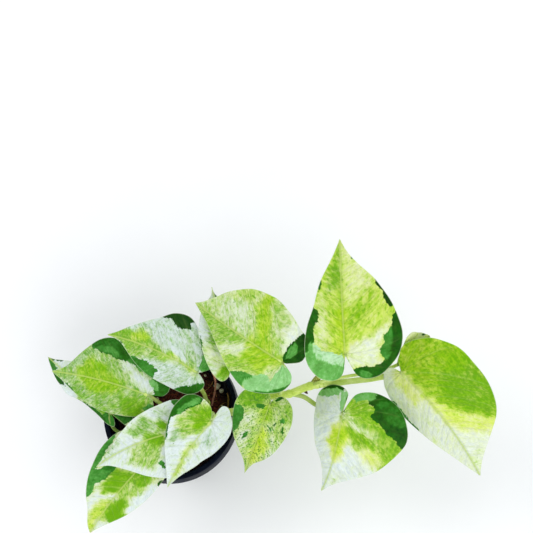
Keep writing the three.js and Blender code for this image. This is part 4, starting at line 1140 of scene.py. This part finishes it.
def spill_over(polygon, margins):
    """The outline with its corners that lie at the leaf's margin pushed out beyond it."""
    spilled = []
    for corner in np.array(polygon, float):
        margin = margins[corner[1] < 0]
        nearest = np.argmin(np.linalg.norm(margin - corner, axis=1))
        ahead = margin[min(nearest + 1, len(margin) - 1)] - margin[max(nearest - 1, 0)]
        outward = np.array((-ahead[1], ahead[0])) / np.linalg.norm(ahead)
        outward *= -1 if corner[1] < 0 else 1
        beyond = (corner - margin[nearest]) @ outward
        if beyond > -MARGIN_REACH and abs(corner[1]) > 1:
            corner = corner + outward * (MARGIN_SPILL - beyond)
        spilled.append(corner)
    return spilled


def wander(along, out, seed):
    """Slow shifts of a millimetre or two, so that a drawn border runs like a grown one."""
    rng = np.random.default_rng(seed)
    shift = []
    for _ in range(2):
        total = 0
        for wave, height in WANDER_WAVES:
            turn, phase = rng.uniform(0, 2 * math.pi, 2)
            total = total + height * np.sin(
                (along * math.cos(turn) + out * math.sin(turn)) * 2 * math.pi / wave + phase
            )
        shift.append(total)
    return shift


def side_veins(along, out, seed):
    """Which side vein each point lies by, in millimetres down the midrib, and how far out on it."""
    lean = VEIN_LEAN + VEIN_SWEEP * out
    start = along - lean * out
    fan = np.arctan2(out, along + 1e-9) - np.arctan2(1, lean)
    vein = np.where(start > 0, start, -LOBE_VEIN_SPREAD * np.maximum(fan, 0))
    wobble = sum(height * np.sin(vein * rate + share * seed) for height, rate, share in VEIN_WOBBLE)
    return vein + wobble, np.hypot(out, along - np.maximum(start, 0))


def close_skin(middle, grid, above_by, below_by, up):
    """A closed skin round a sheet of points: its points, the upper ones first, and its faces."""
    quads = np.stack([grid[:-1, :-1], grid[:-1, 1:], grid[1:, 1:], grid[1:, :-1]], axis=-1).reshape(-1, 4)
    facing = np.cross(middle[quads[:, 2]] - middle[quads[:, 0]], middle[quads[:, 3]] - middle[quads[:, 1]])
    normals = np.zeros_like(middle)
    for corner in range(4):
        np.add.at(normals, quads[:, corner], facing)
    normals /= np.linalg.norm(normals, axis=1, keepdims=True) + 1e-12
    if np.mean(normals @ up) < 0:
        normals = -normals
        quads = quads[:, ::-1]
    under = len(middle)
    faces = []
    used = set()
    for quad in quads.tolist():
        corners = list(dict.fromkeys(quad))
        if len(corners) < 3:
            continue
        faces.append(corners)
        faces.append([under + corner for corner in reversed(corners)])
        used.update(zip(corners, corners[1:] + corners[:1]))
    faces += [[b, a, under + a, under + b] for a, b in sorted(used) if (b, a) not in used]
    skins = [middle + normals * above_by[:, None], middle - normals * below_by[:, None]]
    return np.concatenate(skins), faces


def blade_markings(leaf, along, signed, margins, seed):
    """How lime and how green each point is, how deep it lies in a patch, and that patch's shade."""
    lime, green = (np.full(along.shape, part, float) for part in leaf["ground"])
    drift = wander(along, signed, seed)
    for wash_lime, wash_green, polygon in leaf["washes"]:
        inside = inside_by(spill_over(polygon, margins), along + drift[0], signed + drift[1])
        cover = np.clip(inside / WASH_FEATHER + 0.5, 0, 1)
        cover = cover * cover * (3 - 2 * cover)
        lime += (wash_lime - lime) * cover
        green += (wash_green - green) * cover
    depth, shade = (np.full(along.shape, part) for part in NO_PATCH)
    for patch_shade, polygon in leaf["patches"]:
        spots = (along + PATCH_DRIFT * drift[0], signed + PATCH_DRIFT * drift[1])
        inside = inside_by(spill_over(polygon, margins), *spots)
        shade = np.where((inside > depth) | (inside > 0), patch_shade, shade)
        depth = PATCH_MELD * np.logaddexp(depth / PATCH_MELD, inside / PATCH_MELD)
    return lime, green, depth, shade


def make_blade(leaf, seed):
    """The blade as a closed skin: its points, its faces and the fields of its markings."""
    share = np.arange(BLADE_ROWS + 1) / BLADE_ROWS
    climb = np.maximum(0, (share - BASAL_SHARE) / (1 - BASAL_SHARE))
    foot = leaf["length"] * climb ** RIB_LEAN
    reach = np.linspace(0, 1, BLADE_COLUMNS + 1)[None]
    sheets = []
    margins = []
    for side, key in ((1, "left"), (-1, "right")):
        ends = spaced_margin([(0, 0), *leaf[key][2], (leaf["length"], 0)], BLADE_ROWS)
        margins.append(ends * (1, side))
        along = foot[:, None] + (ends[:, :1] - foot[:, None]) * reach
        out = np.maximum(0, ends[:, 1:]) * reach
        wave = np.sin(2 * np.pi * RIPPLE_WAVES * share + math.radians(leaf["phase"]) * side)
        ripple = (RIPPLE_HEIGHT * wave * np.sin(np.pi * share))[:, None] * reach ** 2
        frill = FRILL_HEIGHT * np.sin(2 * np.pi * FRILL_WAVES * share + seed)[:, None] * reach ** 4
        from_edge = np.hypot(ends[:, :1] - along, ends[:, 1:] - out)
        sheets.append((along, out, np.full(along.shape, side), ripple + frill, from_edge))
    flat = [
        np.concatenate([left[:, ::-1], right[:, 1:]], axis=1).ravel()
        for left, right in zip(*sheets)
    ]
    keys = np.round(np.stack([flat[0], flat[1] * flat[2]], axis=1), 4)
    _, first, number = np.unique(keys, axis=0, return_index=True, return_inverse=True)
    along, out, side, lift, from_edge = (part[first] for part in flat)
    grid = number.reshape(BLADE_ROWS + 1, 2 * BLADE_COLUMNS + 1)

    vein, down_vein = side_veins(along, out, seed)
    from_vein = (vein + 0.5 * VEIN_SPACING) % VEIN_SPACING - 0.5 * VEIN_SPACING
    fade = np.clip(out / RIB_CLEAR, 0, 1) * np.clip(from_edge / EDGE_CLEAR, 0, 1)
    grooves = VEIN_DEPTH * np.exp(-(from_vein / VEIN_WIDTH) ** 2) * fade
    waves = wander(along * DENT_SCALE, out * DENT_SCALE, seed + 50)
    dents, shifts = (DENT_HEIGHT * wave for wave in waves)
    puckers = (dents - PUCKER_HEIGHT * np.cos(vein * 2 * np.pi / VEIN_SPACING + shifts * 4)) * fade
    toward_tip = np.clip(along / leaf["length"], 0, 1)
    groove, ridge = (
        height * (1 - loss * toward_tip) * np.exp(-(out / width) ** 2) * (along > -1)
        for height, loss, width in (RIB_GROOVE, RIB_RIDGE)
    )
    taper = np.clip(from_edge / EDGE_TAPER, 0, 1)
    half = 0.5 * (EDGE_THICKNESS + (BLADE_THICKNESS - EDGE_THICKNESS) * taper)
    middle = blade_points(leaf, along, out, side, lift + puckers)
    above_by, below_by = half - grooves - groove, half + 0.5 * grooves + ridge
    points, faces = close_skin(middle, grid, above_by, below_by, leaf_axes(leaf)[2])

    signed = out * side
    lime, green, depth, shade = blade_markings(leaf, along, signed, margins, seed)
    plain = np.zeros(len(along))
    fields = {
        "spot": (along, signed, plain + SPOT_SHIFT * seed),
        "grain": (vein, down_vein, 0.15 * signed + GRAIN_SHIFT * seed),
        "wash": (lime, green, from_edge),
        "patch": (depth, shade, plain),
        "freckles": (plain + leaf.get("freckles", 0), plain, plain),
    }
    fields = {key: np.tile(np.stack(parts, axis=1), (2, 1)) for key, parts in fields.items()}
    fields["patch"][len(along):, 2] = 1  # the underside
    return points, faces, fields


def make_petiole(leaf):
    """The round stalk: it flares at its foot, swells below the blade and fades under the midrib."""
    radius, corners = leaf["petiole"]
    under = radius - BLADE_THICKNESS / 2
    stops = np.array((radius, PETIOLE_RUN * radius))
    ends = blade_points(leaf, stops, np.zeros(2), np.ones(2), np.full(2, -under))
    line, run = smooth_path([*corners, *ends.tolist()], PETIOLE_MESH[0])
    run = run / radius
    past_blade = run - (run[-1] - (PETIOLE_RUN - 1))
    flare, flare_length = PETIOLE_FLARE
    swell, swell_place, swell_length = PETIOLE_SWELL
    taper, taper_length = PETIOLE_TAPER
    radii = radius * (
        PETIOLE_SLIMNESS + flare * np.exp(-run / flare_length)
        + swell * np.exp(-((past_blade + swell_place) / swell_length) ** 2)
    )
    radii *= 1 - taper * np.clip(past_blade / taper_length, 0, 1)
    return tube(line, radii, PETIOLE_MESH[1], groove=PETIOLE_GROOVE)


blade = Finish("variegated_blade")
spot, grain = blade.field("spot"), blade.field("grain")
lime_share, green_share, from_edge = (blade.part(blade.field("wash"), axis) for axis in range(3))
patch_depth, patch_shade, underside = (blade.part(blade.field("patch"), axis) for axis in range(3))
freckles = blade.part(blade.field("freckles"), 0)
from_rib = blade.node("Math", {"operation": "ABSOLUTE"}, {0: blade.part(spot, 1)})
streaks = blade.noise(blade.stretch(grain, (0.5, 0.11, 1)), 1.0, 5, 0.62)
flecks = blade.noise(blade.stretch(grain, (0.9, 0.32, 1.7)), 1.0, 4, 0.6)
specks = blade.noise(spot, 0.5, 4, 0.6)
clouds = blade.noise(spot, 0.12, 2)
cells = blade.noise(spot, 2.6, 2)

greener = green_share + (clouds - 0.5) * 0.5
lime = lime_share + (clouds - 0.5) * 0.4 + (streaks - 0.5) * 0.7 + (specks - 0.5) * 0.3
tissue = blade.ramp(
    lime, (0.0, (226, 236, 236)), (0.22, (232, 240, 216)), (0.5, (230, 238, 164)),
    (0.75, (222, 238, 104)), (1.0, (196, 224, 52)),
)
for layer, level, softness, strength, pale, middling, yellow in (
    # Light, middling and deep green: where each lies, how soft its edge is, its strength, and
    # its tone as the tissue round it goes from white to lime.
    (streaks * 0.7 + specks * 0.3, greener * 1.2, 0.2, 0.85,
     (190, 210, 186), (164, 206, 84), (150, 198, 16)),
    (flecks * 0.4 + streaks * 0.6, greener * 1.25 - 0.2, 0.15, 0.75,
     (152, 188, 138), (112, 176, 40), (128, 188, 4)),
    (flecks * 0.6 + specks * 0.4, greener * 0.9 - 0.1, 0.11, 0.65,
     (84, 140, 68), (66, 136, 16), (82, 150, 0)),
):
    cover = blade.step(layer + level * COVER_GAIN, COVER_LEVEL - softness, COVER_LEVEL + softness)
    green = blade.ramp(lime, (0.0, pale), (0.5, middling), (1.0, yellow))
    tissue = blade.mix(tissue, green, cover * strength)
freckled = blade.step(blade.noise(spot, 0.9, 2, 0.5) + freckles * 0.3, 0.8, 0.83)
ragged = patch_depth + (specks - 0.5) * 2.4 + (streaks - 0.5) * 4
patched = blade.step(ragged, -0.25, 0.25)
sector = blade.ramp(
    patch_shade + (clouds - 0.5) * 0.3 + (specks - 0.5) * 0.35 + (streaks - 0.5) * 0.35,
    (0.0, (8, 60, 2)), (0.2, (28, 98, 8)), (0.42, (60, 136, 44)),
    (0.62, (106, 178, 84)), (0.85, (150, 208, 134)), (1.0, (194, 230, 186)),
)
vein_wave = blade.node("Math", {"operation": "PINGPONG"}, {0: blade.part(grain, 0), 1: VEIN_SPACING / 2})
vein_line = blade.step(vein_wave, 0.0, 0.5, 1.0, 0.0) * blade.step(from_edge, 0.5, 6.0)
painted_valley_shade = blade.step(vein_wave, 0.3, 2.6, 1.0, 0.0) * blade.step(from_edge, 1.0, 9.0)
folds = flecks * 0.5 + streaks * 0.5
blade_colour = tissue
for tone, share in (
    ((72, 132, 36), freckled * 0.85),
    (sector, patched),
    # painted shade along the sunken side veins
    ((96, 136, 60), painted_valley_shade * 0.05),
    ((206, 228, 130), vein_line * (0.14 - patched * 0.1)),
    # painted shade in the hollow beside the midrib
    ((88, 134, 26), blade.step(from_rib, 0.3, 2.0, 0.26, 0.0)),  # the hollow beside the midrib
    ((196, 216, 112), blade.step(from_rib, 0.25, 0.8, 0.6, 0.0)),  # the midrib
    ((224, 234, 196), blade.step(from_edge, 0.15, 0.6, 0.4, 0.0)),  # the pale rim of the blade
    ((186, 208, 150), underside * 0.35),
    # painted shade in the low parts of the folds
    ((70, 104, 30), blade.step(folds, 0.36, 0.6, 0.22, 0.0)),
):
    blade_colour = blade.mix(blade_colour, tone, share)
blade.wear(
    Base_Color=blade_colour,
    Roughness=blade.step(underside + (specks - 0.5) * 0.3, 0.0, 1.0, 0.38, 0.56),
    Normal=blade.bump(folds + cells * 0.15 - vein_line * 0.25, 0.5),
)
blade.shader.inputs["Specular IOR Level"].default_value = BLADE_GLOSS

stalk = Finish("petiole_skin")
stalk_cloud = stalk.noise(stalk.place(1, 1, 1), 0.1, 3)
stalk_grain = stalk.noise(stalk.place(1.6, 1.6, 0.25), 1.0, 3)
stalk_green = stalk.part(stalk.field("wash"), 0)
stalk_tone = stalk.ramp(
    stalk_cloud * 0.65 + stalk_grain * 0.35,
    (0.3, (148, 174, 62)), (0.5, (192, 214, 104)), (0.7, (226, 236, 160)),
)
stalk.wear(
    Base_Color=stalk.mix(stalk_tone, (84, 122, 30), stalk_green),
    Roughness=stalk.step(stalk_grain, 0.3, 0.7, 0.34, 0.5),
    Normal=stalk.bump(stalk_grain, 0.1),
)

for seed, (name, leaf) in enumerate(LEAVES.items(), start=1):
    points, faces, fields = make_blade(leaf, seed)
    bar_points, bar_faces = make_petiole(leaf)
    face_materials = [0] * len(faces) + [1] * len(bar_faces)
    tone = np.full((len(bar_points), 3), leaf.get("stalk_green", 0.0))
    fields = {key: np.concatenate([values, tone]) for key, values in fields.items()}
    piece = make_piece(
        name.replace("leaf_", "grown_"), *join_forms([(points, faces), (bar_points, bar_faces)]),
        [blade, stalk], face_materials, crease=LEAF_CREASE, fields=fields,
    )
    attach(piece, "root")
    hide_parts(name)

# Table and light
# A plain pale table top, lit by a wide soft window light from the upper left, by a pale
# screen in front on the right, and by the pale room all round.
TABLE_REACH = 4
ROOM_COLOUR = (0.94, 0.97, 1.0, 1.0)
ROOM_STRENGTH = 0.82
LAMPS = (  # name, place, size and power
    ("window", (-2.3, 0.9, 2.6), 1.6, 31),
    ("pale_screen", (1.5, -1.6, 2.2), 2.2, 32),
)
LAMP_AIM = (0.07, 0.0, 0.1)

table_mesh = bpy.data.meshes.new("table")
table_corners = [(x * TABLE_REACH, y * TABLE_REACH, 0) for x, y in ((-1, -1), (1, -1), (1, 1), (-1, 1))]
table_mesh.from_pydata(table_corners, [], [(0, 1, 2, 3)])
table = bpy.data.objects.new("table", table_mesh)
bpy.context.scene.collection.objects.link(table)
paper = Finish("pale_table")
paper.wear(
    Base_Color=paper.mix(
        (244, 244, 245), (250, 250, 250), paper.noise(paper.place(0.01, 0.01, 0.01), 1.0, 3),
    ),
    Roughness=0.7,
)
table_mesh.materials.append(paper.material)

world = bpy.data.worlds.new("room")
world.use_nodes = True
world.node_tree.nodes["Background"].inputs["Color"].default_value = ROOM_COLOUR
world.node_tree.nodes["Background"].inputs["Strength"].default_value = ROOM_STRENGTH
bpy.context.scene.world = world
for lamp_name, place, size, energy in LAMPS:
    lamp_data = bpy.data.lights.new(lamp_name, "AREA")
    lamp_data.size = size
    lamp_data.energy = energy
    lamp = bpy.data.objects.new(lamp_name, lamp_data)
    lamp.location = place
    toward = np.array(LAMP_AIM) - np.array(place)
    lamp.rotation_euler = (
        math.atan2(math.hypot(toward[0], toward[1]), -toward[2]), 0, math.atan2(-toward[0], toward[1]),
    )
    bpy.context.scene.collection.objects.link(lamp)
